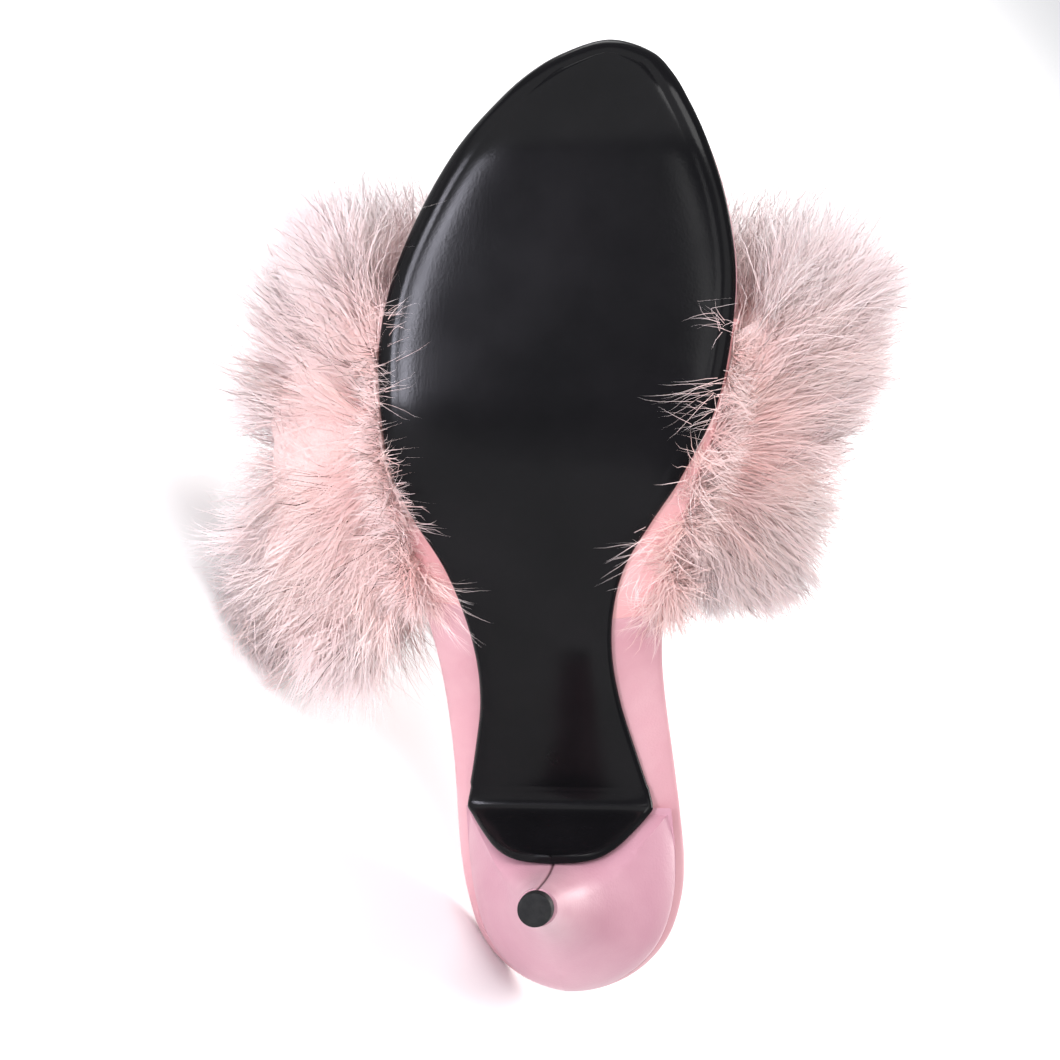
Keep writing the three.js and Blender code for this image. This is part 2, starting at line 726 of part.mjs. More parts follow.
function heelRing(section) {
  const points = [];
  const curved = 14;
  const top = heelSections[0];
  const depth = (section.breast - section.back) * length;
  const narrowing = section.width / top.width;
  const centre = heelOffset * seatWidth * narrowing;
  for (let i = 0; i <= curved; i += 1) {
    const angle = (Math.PI * i) / curved;
    const bedAlong = lerp(top.back, top.breast, 1 - Math.sin(angle) ** 0.9);
    const side = i <= curved / 2 ? 1 : -1;
    const bedShare = (side * bedHalf[side](Math.max(bedAlong, 0.006))) / (seatWidth / 2);
    const isTip = i === curved / 2;
    const back = (bedAlong - top.back) / (top.breast - top.back);
    const square = new THREE.Vector2(isTip ? 0 : bedShare * cupShare, back);
    const round = new THREE.Vector2(Math.cos(angle), 0.5 - 0.5 * Math.sin(angle));
    points.push(square.lerp(round, section.round));
  }
  const front = 4;
  for (let i = 1; i <= front; i += 1) {
    const angle = Math.PI * (i / (front + 1));
    const square = new THREE.Vector2(-Math.cos(angle) * Math.abs(points[0].x), 1);
    const round = new THREE.Vector2(-Math.cos(angle), 0.5 + 0.5 * Math.sin(angle));
    points.push(square.lerp(round, section.round));
  }
  return points.map(
    (p) =>
      new THREE.Vector3(
        centre + (p.x * section.width * seatWidth) / 2,
        section.back * length + p.y * depth,
        section.height * heelHeight,
      ),
  );
}

function makeHeel() {
  const foot = heelSections.at(-1);
  const last = { ...foot, height: (topPieceHeight + clearance) / heelHeight, width: stemWidth / seatWidth };
  const block = loft([...heelSections.slice(0, -1), last].map(heelRing));
  const margin = 10;
  const reach = 0.3;
  const steps = 24;
  const profile = new THREE.Shape([new THREE.Vector2(-margin, -margin)]);
  for (let i = 0; i <= steps; i += 1) {
    const point = onFoot((reach * i) / steps, 0, -clearance);
    if (i === 0) profile.lineTo(-margin, point.z);
    profile.lineTo(point.y, point.z);
  }
  profile.lineTo(reach * length, -margin);
  const room = new THREE.ExtrudeGeometry(profile, { depth: 2 * seatWidth, bevelEnabled: false });
  room.rotateX(Math.PI / 2).rotateZ(Math.PI / 2).translate(-seatWidth, 0, 0);
  return block.intersect(solidOf(room));
}

// Hard top piece under the stem.
function makeTopPiece() {
  const foot = heelSections.at(-1);
  const setBack = ((foot.back + foot.breast) / 2) * length;
  const radius = topPieceDiameter / 2;
  const piece = new THREE.CylinderGeometry(radius, radius * 0.97, topPieceHeight, 24);
  piece.rotateX(Math.PI / 2).translate(0, setBack, topPieceHeight / 2);
  return solidOf(piece);
}

function meshOf(name, solid, material) {
  const mesh = new THREE.Mesh(geometryOf(solid), material);
  mesh.name = name;
  return mesh;
}

// The slipper drawn upright, then laid on its outer side.
const laid = new THREE.Matrix4();
laid.makeBasis(
  new THREE.Vector3(-Math.sin(lean), 0, -Math.cos(lean)),
  new THREE.Vector3(-Math.cos(lean), 0, Math.sin(lean)),
  new THREE.Vector3(0, 1, 0),
);
laid.premultiply(new THREE.Matrix4().makeRotationX(-tipBack));

const upper = makeUpper(0);
const footbed = footbedPlate(0).subtract(wrapZone()).add(footbedPlate(upperWall + clearance));
const pieces = [
  meshOf("outsole", makeOutsole(), blackLeather),
  meshOf("footbed", footbed, pinkLeather),
  meshOf("upper", upper, pinkVamp),
  meshOf("heel", makeHeel(), pinkLeather),
  meshOf("top_piece", makeTopPiece(), blackRubber),
];

// The floor is where the hard pieces come lowest, and the feathers are pressed flat on it.
function lowestOf(meshes) {
  const spot = new THREE.Vector3();
  let lowest = Infinity;
  for (const mesh of meshes) {
    const position = mesh.geometry.attributes.position;
    for (let i = 0; i < position.count; i += 1) {
      lowest = Math.min(lowest, spot.fromBufferAttribute(position, i).applyMatrix4(laid).z);
    }
  }
  return lowest;
}

const floorHeight = lowestOf(pieces);
const floorSize = 4 * length;
const floor = new THREE.BoxGeometry(floorSize, floorSize, length);
floor.translate(0, 0, floorHeight - length / 2);
floor.applyMatrix4(laid.clone().invert());
const taken = wasm.Manifold.union([
  makeUpper(backingClearance),
  makeFootRoom(backingClearance),
  solidOf(floor),
]);
const marabou = makePlume().subtract(taken).decompose().sort((a, b) => b.volume() - a.volume())[0];
pieces.push(meshOf("marabou", marabou, pinkFeather));

const slipper = new THREE.Group();
slipper.add(...pieces);
slipper.applyMatrix4(laid);

const part = new THREE.Group();
part.add(slipper);
part.updateMatrixWorld(true);
const bounds = new THREE.Box3().setFromObject(slipper, true);
const centre = bounds.getCenter(new THREE.Vector3());
slipper.position.sub(new THREE.Vector3(centre.x, centre.y, floorHeight));

export default part;
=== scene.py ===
import math

import bmesh
import bpy
import numpy as np
from mathutils import Matrix, Vector


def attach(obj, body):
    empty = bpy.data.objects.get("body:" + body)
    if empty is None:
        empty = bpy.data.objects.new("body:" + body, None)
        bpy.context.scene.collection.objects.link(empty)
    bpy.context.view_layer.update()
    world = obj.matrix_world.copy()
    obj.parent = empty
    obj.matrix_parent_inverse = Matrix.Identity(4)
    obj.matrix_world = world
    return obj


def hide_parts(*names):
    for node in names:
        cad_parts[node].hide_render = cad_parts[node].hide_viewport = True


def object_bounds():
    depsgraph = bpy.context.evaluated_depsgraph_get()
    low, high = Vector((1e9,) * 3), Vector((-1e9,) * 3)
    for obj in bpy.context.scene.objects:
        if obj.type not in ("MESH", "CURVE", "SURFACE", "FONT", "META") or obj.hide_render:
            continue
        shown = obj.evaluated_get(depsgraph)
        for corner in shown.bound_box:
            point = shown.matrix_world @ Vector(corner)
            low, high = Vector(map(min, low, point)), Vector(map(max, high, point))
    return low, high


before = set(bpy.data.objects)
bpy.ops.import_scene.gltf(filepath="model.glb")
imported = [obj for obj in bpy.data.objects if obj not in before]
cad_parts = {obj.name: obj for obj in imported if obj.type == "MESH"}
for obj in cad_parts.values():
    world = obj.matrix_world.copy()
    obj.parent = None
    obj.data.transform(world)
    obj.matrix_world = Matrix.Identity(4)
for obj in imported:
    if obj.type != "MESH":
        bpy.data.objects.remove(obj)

CAD_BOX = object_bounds()

# The slipper is drawn upright in millimetres, as its solids are: X towards the outer side of the
# foot, Y towards the toe, Z up, the tread at Z = 0. It is then laid down where its solids lie.
LENGTH, BALL_WIDTH, SEAT_WIDTH = 234, 84, 58
HEEL_HEIGHT, TOE_SPRING = 55, 6
SOLE_THICK, WAIST_THICK, EDGE_BEVEL = 3.5, 2.3, 4.6
FLAP_LENGTH, FLAP_WIDTH = 22, 47
BED_THICK, SEAT_THICK, SEAT_DISH = 4.5, 6.5, 1.2
CLEARANCE = 0.4
UPPER_WALL, LASTING_LIP, INSTEP, THROAT = 1.8, 6, 57, 34
BINDING_WIDTH, BINDING_RISE = 3, 1.2
PLUME_DEPTH, PLUME_REACH, PLUME_ROUNDNESS = 38, 60, 0.68
STEM_WIDTH, TOP_PIECE_DIAMETER, TOP_PIECE_HEIGHT, TOP_PIECE_BACK = 9.6, 8.4, 4.5, 29.17
LEAN, TIP_BACK = math.radians(36), math.radians(15)
PLACE = np.array([94.42118, -70.58421, 23.7934])

# Shares of the foot's length: sizes change over a span, and the sole's outline ends at CORNER.
BREADTH_SPAN, WAIST_SPAN, BEVEL_SPAN = (0.3, 0.6), (0.45, 0.62), (0.4, 0.62)
BED_SPAN, DISH_SPAN = (0.35, 0.62), (0.2, 0.4)
CORNER, SLOPE_STEP = 0.235, 0.004
# The rim's height in the footbed's thickness, and how far off centre the vamp's ridge stands in
# the foot's breadth and the heel's stem in millimetres.
RIM_SHARE, RIDGE_SHARE, STEM_OFFSET = 0.52, -0.05, -0.014 * SEAT_WIDTH
# How square the vamp's arch is, across and upwards.
ARCH_ACROSS, ARCH_UP = 0.82, 0.94

# In the tables, along is a share of the length, and half widths are shares of the breadth.
# along, share of the heel's rise, share of the toe spring
SOLE_LINE = [(0, 1, 0), (0.12, 0.965, 0), (0.2, 0.89, 0), (0.3, 0.688, 0), (0.4, 0.397, 0),
             (0.5, 0.162, 0), (0.58, 0.035, 0), (0.65, 0, 0), (0.876, 0, 0), (0.94, 0, 0.25),
             (1, 0, 1)]
# along, half width of the outer side, half width of the inner side
FOREFOOT = [(1, -0.202, 0.202), (0.985, -0.062, 0.325), (0.964, 0.03, 0.381), (0.933, 0.124, 0.433),
            (0.889, 0.228, 0.488), (0.834, 0.32, 0.535), (0.765, 0.404, 0.561),
            (0.697, 0.445, 0.548)]
SOLE_OUTLINE = FOREFOOT + [
    (0.629, 0.443, 0.506), (0.561, 0.42, 0.413), (0.515, 0.381, 0.337), (0.469, 0.327, 0.269),
    (0.422, 0.3, 0.243), (0.374, 0.294, 0.25), (0.324, 0.315, 0.286), (0.274, 0.355, 0.338),
    (CORNER, 0.39, 0.381)]
BED_OUTLINE = FOREFOOT + [
    (0.629, 0.44, 0.519), (0.561, 0.435, 0.463), (0.515, 0.434, 0.437), (0.469, 0.441, 0.422),
    (0.41, 0.455, 0.423), (0.368, 0.464, 0.437), (0.325, 0.472, 0.46), (0.261, 0.467, 0.486),
    (0.195, 0.466, 0.51), (0.15, 0.459, 0.522), (0.109, 0.434, 0.512), (0.066, 0.381, 0.46),
    (0.04, 0.312, 0.388), (0.018, 0.207, 0.278), (0.004, 0.08, 0.146), (0, -0.03, 0.03)]
# share of the flap's length, share of its width; it starts a little before the fold
FLAP_START = -0.25
FLAP_OUTLINE = [(FLAP_START, 0.96), (0, 1), (0.12, 0.95), (0.5, 0.755), (0.72, 0.61), (0.88, 0.44),
                (0.97, 0.24), (1, 0)]
# millimetres on either side of the fold over which it eases in
FOLD_ROUND = 7.5
# share of the heel's height, back, breast, width, roundness
HEEL_SECTIONS = [
    (1.06, 0.004, 0.207, 0.955, 0), (0.93, 0.006, 0.204, 0.95, 0), (0.87, 0.0105, 0.199, 0.9, 0.03),
    (0.8, 0.02, 0.19, 0.8, 0.1), (0.72, 0.034, 0.176, 0.665, 0.2), (0.64, 0.049, 0.163, 0.53, 0.35),
    (0.55, 0.064, 0.153, 0.4, 0.5), (0.45, 0.078, 0.148, 0.295, 0.7),
    (0.34, 0.089, 0.1455, 0.22, 0.85), (0.22, 0.098, 0.1445, 0.177, 1),
    (TOP_PIECE_HEIGHT / HEEL_HEIGHT, 0.1055, 0.1438, STEM_WIDTH / SEAT_WIDTH, 1)]
FLAP_ALONG = HEEL_SECTIONS[0][2]
# turn round the vamp, front edge, rear edge
VAMP_EDGES = [(0, 0.731, 0.427), (0.25, 0.735, 0.41), (0.5, 0.738, 0.388), (0.75, 0.727, 0.396),
              (1, 0.718, 0.414)]
# along, share of the rise from the throat to the instep
RIDGE = [(0.35, 1.04), (0.42, 0.98), (0.5, 0.8), (0.6, 0.42), (0.735, 0)]
# turn, depth, reach behind, reach ahead, slant
PLUME = [(0, 1.22, 1.02, 0.84, 0.52), (0.18, 1.2, 1.02, 0.84, 0.54), (0.34, 0.92, 0.98, 0.76, 0.5),
         (0.5, 0.52, 0.6, 0.66, 0.05), (0.8, 0.92, 0.6, 0.84, 0), (1, 0.95, 0.58, 0.86, 0)]


def lerp(a, b, t):
    return a + (b - a) * t


def smoothstep(x, low, high):
    t = np.clip((x - low) / (high - low), 0, 1)
    return t * t * (3 - 2 * t)


def unit(v):
    return v / np.maximum(np.linalg.norm(v, axis=-1, keepdims=True), 1e-9)


def column(table, k=1):
    """A column of a table as a smooth function of its first, which never overshoots its rows."""
    x, y = (np.array(v, float) for v in zip(*sorted((row[0], row[k]) for row in table)))
    step = np.diff(y) / np.diff(x)
    before, after = np.r_[step[0], step], np.r_[step, step[-1]]
    level = before * after <= 0
    slope = np.where(level, 0, 2 * before * after / np.where(level, 1, before + after))

    def read(at):
        at = np.clip(at, x[0], x[-1])
        i = np.clip(np.searchsorted(x, at) - 1, 0, len(x) - 2)
        span, rise = x[i + 1] - x[i], y[i + 1] - y[i]
        t = (at - x[i]) / span
        bend = (1 - t) * (slope[i] * span - rise) + t * (rise - slope[i + 1] * span)
        return y[i] + t * rise + t * (1 - t) * bend
    return read


def dense(points, parts):
    """Rows of points with more between them, on a smooth line through the given ones."""
    p = np.concatenate([2 * points[:1] - points[1:2], points, 2 * points[-1:] - points[-2:-1]])
    t = np.arange(0, (len(points) - 1) * parts + 1) / parts
    k = np.minimum(t.astype(int), len(points) - 2)
    t = (t - k).reshape(-1, *[1] * (points.ndim - 1))
    a, b, c, d = (p[k + j] for j in range(4))
    return b + 0.5 * t * (c - a + t * (2 * a - 5 * b + 4 * c - d + t * (3 * (b - c) + d - a)))


heel_share, toe_share = column(SOLE_LINE, 1), column(SOLE_LINE, 2)


def seat_height(along):
    rise = (HEEL_HEIGHT - SOLE_THICK) * heel_share(along)
    return SOLE_THICK + rise + TOE_SPRING * toe_share(along)


def up_at(along):
    """The way square to the foot's line, upwards."""
    ahead, behind = np.minimum(along + SLOPE_STEP, 1), np.maximum(along - SLOPE_STEP, 0)
    slope = (seat_height(ahead) - seat_height(behind)) / ((ahead - behind) * LENGTH)
    return unit(np.stack([np.zeros_like(slope), -slope, np.ones_like(slope)], -1))


def on_foot(along, across, height):
    """A point at a share of the length, a distance across and a height over the foot's line."""
    given = (np.asarray(v, float) for v in (along, across, height))
    along, across, height = np.broadcast_arrays(*given)
    base = np.stack([across, along * LENGTH, seat_height(along)], -1)
    return base + up_at(along) * height[..., None]


def breadth(along):
    return lerp(SEAT_WIDTH, BALL_WIDTH, smoothstep(along, *BREADTH_SPAN))


def side_curve(outline, side):
    """One side of an outline as a smooth curve in plan, which runs on into the other side."""
    def point_of(row, towards):
        return np.array([(row[1] if towards > 0 else -row[2]) * breadth(row[0]), row[0] * LENGTH])

    points = np.array([point_of(row, side) for row in outline])
    end = 2 * points[-1] - points[-2]
    if outline[-1][0] == 0:
        end = point_of(outline[-2], -side)
    p = np.vstack([point_of(outline[1], -side), points, end])

    def read(share):
        t = np.clip(share, 0, 1) * (len(points) - 1)
        k = np.minimum(t.astype(int), len(points) - 2)
        t = (t - k)[..., None]
        a, b, c, d = (p[k + j] for j in range(4))
        g = [np.linalg.norm(v - u, axis=-1)[..., None] ** 0.5 for u, v in ((a, b), (b, c), (c, d))]
        m0 = ((b - a) / g[0] - (c - a) / (g[0] + g[1]) + (c - b) / g[1]) * g[1]
        m1 = ((c - b) / g[1] - (d - b) / (g[1] + g[2]) + (d - c) / g[2]) * g[1]
        return b + t * (m0 + t * (3 * (c - b) - 2 * m0 - m1 + t * (2 * (b - c) + m0 + m1)))
    return read


def stations(outline, count):
    """Points along both sides of an outline and the ways outwards: two arrays for each side."""
    i = np.arange(count + 1) / count
    share = lerp(i, 0.5 - 0.5 * np.cos(np.pi * i), 0.6)
    found = []
    for side in (1, -1):
        curve = side_curve(outline, side)
        tangent = curve(share + 1e-4) - curve(share - 1e-4)
        out = unit(np.stack([-tangent[:, 1], tangent[:, 0]], -1)) * side
        out[0] = (0, 1)
        if outline[-1][0] == 0:
            out[-1] = (0, -1)
        found.append((curve(share), out))
    return found


def half_width(outline, side):
    samples = side_curve(outline, side)(np.linspace(0, 1, 500))[::-1]
    return lambda along: np.interp(np.asarray(along) * LENGTH, samples[:, 1], samples[:, 0] * side)


sole_half = {s: half_width(SOLE_OUTLINE, s) for s in (1, -1)}
bed_half = {s: half_width(BED_OUTLINE, s) for s in (1, -1)}


def bed_thickness(along):
    return lerp(SEAT_THICK, BED_THICK, smoothstep(along, *BED_SPAN))


# Meshes

# The rows are the shoe's own X, Y and Z axes as it lies.
AXES = np.array([[-math.sin(LEAN), 0, -math.cos(LEAN)],
                 [-math.cos(LEAN), 0, math.sin(LEAN)],
                 [0, 1, 0]])
AXES = AXES @ np.array(Matrix.Rotation(-TIP_BACK, 3, "X")).T


def lay(points):
    """Points of the upright shoe in millimetres, as the shoe lies, in metres."""
    return (np.asarray(points) @ AXES + PLACE) / 1000


def points_of(mesh):
    points = np.zeros(len(mesh.vertices) * 3)
    mesh.vertices.foreach_get("co", points)
    return points.reshape(-1, 3)


def upright(points):
    """The way back: laid points in metres, in millimetres of the upright shoe."""
    return (points * 1000 - PLACE) @ AXES.T


def linked(name, data):
    obj = bpy.data.objects.new(name, data)
    bpy.context.scene.collection.objects.link(obj)
    return obj


def add_object(name, mesh, materials, replaces=None):
    obj = linked(name, mesh)
    for m in materials:
        mesh.materials.append(m)
    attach(obj, "root")
    if replaces:
        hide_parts(replaces)


WELD = 2e-6


def shell(name, rings, sharp=35, strips=False, fans=(), second=None):
    """A closed mesh through rings of points. Strips close a thick sheet's ends, and fans close a
    ring to its own middle. second says which columns of faces take the second material."""
    rings = lay(rings)
    rows, count = rings.shape[:2]
    at = np.arange(rows * count).reshape(rows, count)
    after = np.roll(at, -1, 1)
    faces = np.stack([at[:-1], after[:-1], after[1:], at[1:]], -1).reshape(-1, 4).tolist()
    index = [int(bool(second and second(k))) for _ in range(rows - 1) for k in range(count)]
    if strips:
        for r in (at[0], at[-1]):
            for k in range(count // 2 - 1):
                faces.append([r[k], r[k + 1], r[count - 2 - k], r[count - 1 - k]])
    points = rings.reshape(-1, 3).tolist()
    for r in fans:
        points.append(rings[r].mean(0).tolist())
        faces += [[at[r][k], after[r][k], len(points) - 1] for k in range(count)]
    index += [0] * (len(faces) - len(index))
    mesh = bpy.data.meshes.new(name)
    mesh.from_pydata(points, [], faces)
    mesh.polygons.foreach_set("material_index", index)
    bm = bmesh.new()
    bm.from_mesh(mesh)
    bmesh.ops.remove_doubles(bm, verts=bm.verts, dist=WELD)
    bmesh.ops.dissolve_degenerate(bm, edges=bm.edges, dist=WELD / 2)
    bmesh.ops.recalc_face_normals(bm, faces=bm.faces)
    bm.to_mesh(mesh)
    bm.free()
    mesh.polygons.foreach_set("use_smooth", [True] * len(mesh.polygons))
    mesh.set_sharp_from_angle(angle=math.radians(sharp))
    return mesh


# Materials

class Paint:
    """A material of nodes around one principled shader."""

    def __init__(self, name, **sockets):
        self.material = bpy.data.materials.new(name)
        self.material.use_nodes = True
        self.nodes = self.material.node_tree.nodes
        self.links = self.material.node_tree.links
        self.shader = self.nodes["Principled BSDF"]
        for key, value in sockets.items():
            self.shader.inputs[key.replace("_", " ")].default_value = value
        self.space = self.node("ShaderNodeTexCoord").outputs["Object"]
        self.last_bump = None

    def node(self, kind, values=(), **properties):
        """A node of a kind. The values are sockets to link or plain values to set."""
        made = self.nodes.new(kind)
        for key, value in properties.items():
            setattr(made, key, value)
        for key, value in dict(values).items():
            if isinstance(value, bpy.types.NodeSocket):
                self.links.new(value, made.inputs[key])
            else:
                made.inputs[key].default_value = value
        return made

    def stretched(self, scale, turn=(0, 0, 0)):
        values = {"Vector": self.space, "Scale": scale, "Rotation": turn}
        return self.node("ShaderNodeMapping", values).outputs[0]

    def noise(self, scale, detail, space=None, distortion=0):
        values = {"Vector": space or self.space, "Scale": scale, "Detail": detail,
                  "Roughness": 0.55, "Distortion": distortion}
        return self.node("ShaderNodeTexNoise", values).outputs["Fac"]

    def cells(self, scale):
        values = {"Vector": self.space, "Scale": scale}
        return self.node("ShaderNodeTexVoronoi", values).outputs["Distance"]

    def attribute(self, name):
        return self.node("ShaderNodeAttribute", attribute_name=name).outputs["Fac"]

    def ramp(self, value, stops):
        made = self.node("ShaderNodeValToRGB", {"Fac": value})
        ramp = made.color_ramp
        while len(ramp.elements) < len(stops):
            ramp.elements.new(0.5)
        for element, (place, colour) in zip(ramp.elements, stops):
            element.position = place
            element.color = (*colour, 1)
        return made.outputs["Color"]

    def range(self, value, low, high, start=0.3, end=0.7):
        values = {"Value": value, "From Min": start, "From Max": end, "To Min": low, "To Max": high}
        return self.node("ShaderNodeMapRange", values).outputs["Result"]

    def mix(self, share, a, b, blend="MIX"):
        made = self.node("ShaderNodeMix", data_type="RGBA", blend_type=blend)
        for k, value in ((0, share), (6, a), (7, b)):
            if isinstance(value, bpy.types.NodeSocket):
                self.links.new(value, made.inputs[k])
            else:
                made.inputs[k].default_value = (*value, 1) if k else value
        return made.outputs[2]

    def colour(self, socket):
        self.links.new(socket, self.shader.inputs["Base Color"])

    def roughness(self, socket):
        self.links.new(socket, self.shader.inputs["Roughness"])

    def bump(self, height, distance, strength):
        values = {"Height": height, "Distance": distance, "Strength": strength}
        if self.last_bump:
            values["Normal"] = self.last_bump
        self.last_bump = self.node("ShaderNodeBump", values).outputs["Normal"]
        self.links.new(self.last_bump, self.shader.inputs["Normal"])


def sole_leather():
    p = Paint("sole_leather", IOR=1.45)
    p.shader.inputs["Specular IOR Level"].default_value = 0.13
    cloud = p.noise(28, 4)
    p.colour(p.ramp(cloud, [(0.3, (0.003, 0.003, 0.0035)), (0.75, (0.0065, 0.006, 0.007))]))
    p.roughness(p.range(p.noise(60, 5), 0.15, 0.2))
    p.bump(p.noise(70, 2), 0.0003, 0.06)
    p.bump(p.cells(1500), 0.00006, 0.1)
    p.bump(p.noise(3200, 2), 0.00003, 0.12)
    return p.material


SEAM_COLOUR = (0.1, 0.03, 0.04)


def smooth_leather(name, base, deep, wrinkle=0.5, seamed=False):
    """Smooth dyed leather: cloudy colour, fine pores and soft drawn wrinkles. A seamed one is
    dark where the mesh's attribute seam is high."""
    p = Paint(name, IOR=1.46, Sheen_Weight=0.12, Sheen_Roughness=0.4)
    cloud = p.noise(35, 4, distortion=0.4)
    tone = p.ramp(cloud, [(0.3, deep), (0.62, base)])
    pores = p.cells(1700)
    tone = p.mix(p.range(pores, 0.1, 0, 0, 0.35), tone, deep)
    if seamed:
        tone = p.mix(p.range(p.attribute("seam"), 0, 0.9, 0.15, 0.8), tone, SEAM_COLOUR)
    p.colour(tone)
    p.roughness(p.range(p.noise(110, 4), 0.36, 0.5))
    drawn = p.stretched((1, 1, 0.35), (0.3, 0.2, 0.9))
    p.bump(p.noise(150, 4, space=drawn), 0.0009 * wrinkle, 0.6)
    p.bump(pores, 0.00007, 0.5)
    p.bump(p.noise(2600, 2), 0.00003, 0.5)
    return p.material


def rubber():
    p = Paint("top_piece_rubber", IOR=1.5)
    p.shader.inputs["Specular IOR Level"].default_value = 0.2
    cloud = p.noise(400, 4)
    p.colour(p.ramp(cloud, [(0.35, (0.007, 0.007, 0.008)), (0.7, (0.014, 0.014, 0.014))]))
    p.roughness(p.range(p.noise(900, 4), 0.5, 0.7))
    p.bump(p.noise(1800, 3), 0.00008, 0.7)
    return p.material


# the down's colour from its barbs' roots to their tips, and the tint of some locks
DOWN_STOPS = [(0.0, (0.8, 0.41, 0.37)), (0.2, (0.86, 0.57, 0.52)), (0.5, (0.89, 0.71, 0.67)),
              (0.78, (0.9, 0.8, 0.78)), (1.0, (0.92, 0.88, 0.88))]
DOWN_TINT = (0.98, 0.8, 0.83)


def down(name):
    p = Paint(name, IOR=1.3, Roughness=0.85, Sheen_Weight=0.3, Sheen_Roughness=0.5)
    p.shader.inputs["Specular IOR Level"].default_value = 0.2
    tone = p.ramp(p.attribute("tone"), DOWN_STOPS)
    cloud = p.ramp(p.noise(45, 3), [(0.3, (0.98, 0.92, 0.93)), (0.7, (1, 1, 1))])
    tinted = p.mix(1, tone, cloud, "MULTIPLY")
    p.colour(p.mix(p.range(p.attribute("tint"), 0, 0.3, 0, 1), tinted, DOWN_TINT))
    return p


# The outsole

# share of the bevel's width inwards, share of the sole's thickness downwards
EDGE = [(0.12, 0), (0, 0.3), (0.22, 0.72), (0.58, 0.94), (1, 1)]
edge_rows = dense(np.array(EDGE, float), 4)
tread_shares = (1 - np.cos(np.pi * np.linspace(0, 1, 25)[1:-1])) / 2
# how far the tread bulges in millimetres, and how flat its middle is
DOME, DOME_POWER = 0.5, 9
WAIST_BEVEL = 0.35
SOLE_STATIONS, FLAP_STATIONS, FOLD_STATIONS = 170, 36, 12


def sole_ring(outer, inner, level):
    """One section: the outer edge, the tread between both edges, and the inner edge."""
    tread = []
    for v in tread_shares:
        bulge = DOME * (1 - abs(1 - 2 * v) ** DOME_POWER) / SOLE_THICK
        tread.append(level(lerp(outer[-1], inner[-1], v), 1 + bulge))
    sides = [[level(p, depth) for p, (_, depth) in zip(side, edge_rows)] for side in (outer, inner)]
    return sides[0] + tread + sides[1][::-1]


def outsole():
    rings = []
    both = stations(SOLE_OUTLINE, SOLE_STATIONS)
    for i in range(SOLE_STATIONS + 1):
        edges = []
        for points, outs in both:
            along = points[i, 1] / LENGTH
            bevel = lerp(WAIST_BEVEL, 1, smoothstep(along, *BEVEL_SPAN)) * EDGE_BEVEL
            edges.append([points[i] - outs[i] * inset * bevel for inset, _ in edge_rows])

        def level(p, depth):
            a = min(p[1] / LENGTH, 1)
            thick = lerp(WAIST_THICK, SOLE_THICK, smoothstep(a, *WAIST_SPAN))
            return on_foot(a, p[0], -lerp(CLEARANCE, thick, depth))
        rings.append(sole_ring(*edges, level))
    rings += flap_rings()
    return shell("outsole_leather", np.array(rings))


# the line down the middle of the heel's breast, and the run to each of its points
breast_back = column([(h * HEEL_HEIGHT, b * LENGTH) for h, _, b, _, _ in HEEL_SECTIONS[:8]])
breast_top = float(seat_height(FLAP_ALONG))
breast_z = breast_top - np.linspace(0, 1.4 * FLAP_LENGTH, 400)
breast_line = np.stack([breast_back(breast_z), breast_z], -1)
breast_run = np.r_[0, np.cumsum(np.linalg.norm(np.diff(breast_line, axis=0), axis=1))]


def breast_at(down_by):
    return np.array([0, *(np.interp(down_by, breast_run, breast_line[:, k]) for k in (0, 1))])


def fold_point(run):
    """The middle of the sole's upper side, from its waist over a round fold and down the breast."""
    offsets = np.linspace(-FOLD_ROUND, FOLD_ROUND, 41)
    weights = 1 + np.cos(np.pi * offsets / FOLD_ROUND)
    near = []
    for at in run + offsets:
        near.append(breast_at(at) if at >= 0 else on_foot(FLAP_ALONG - at / LENGTH, 0, 0))
    return np.average(near, 0, weights)


def flap_rings():
    half_at = column(FLAP_OUTLINE)
    shares = [FLAP_START * i / FOLD_STATIONS for i in range(FOLD_STATIONS, 0, -1)]
    for i in range(FLAP_STATIONS + 1):
        shares.append(math.sin(math.pi / 2 * i / FLAP_STATIONS) ** 1.2)
    rings = []
    for share in shares:
        run = share * FLAP_LENGTH
        middle = fold_point(run)
        tangent = unit(fold_point(run + 0.5) - fold_point(run - 0.5))
        way = np.array([0, -tangent[2], tangent[1]])
        half = float(half_at(share)) * FLAP_WIDTH / 2
        inset = min(WAIST_BEVEL * EDGE_BEVEL, half)
        edges = [[side * (half - k * inset) for k, _ in edge_rows] for side in (1, -1)]

        def level(x, depth):
            point = middle + way * lerp(CLEARANCE, WAIST_THICK, depth)
            return np.array([x, point[1], point[2]])
        rings.append(sole_ring(*edges, level))
    return rings


# The footbed

front_at, rear_at = column(VAMP_EDGES, 1), column(VAMP_EDGES, 2)
BED_STATIONS = 220


def side_profile(along, side):
    """Across and height of the footbed's side, from its flat underside to its rim."""
    rim = bed_half[side](along)
    flat = np.minimum(sole_half[side](np.maximum(along, CORNER)) - 0.5, rim - 1.8)
    high = bed_thickness(along) * RIM_SHARE
    return [(flat, 0 * high), (lerp(flat, rim, 0.55), 0.42 * high), (rim, high)]


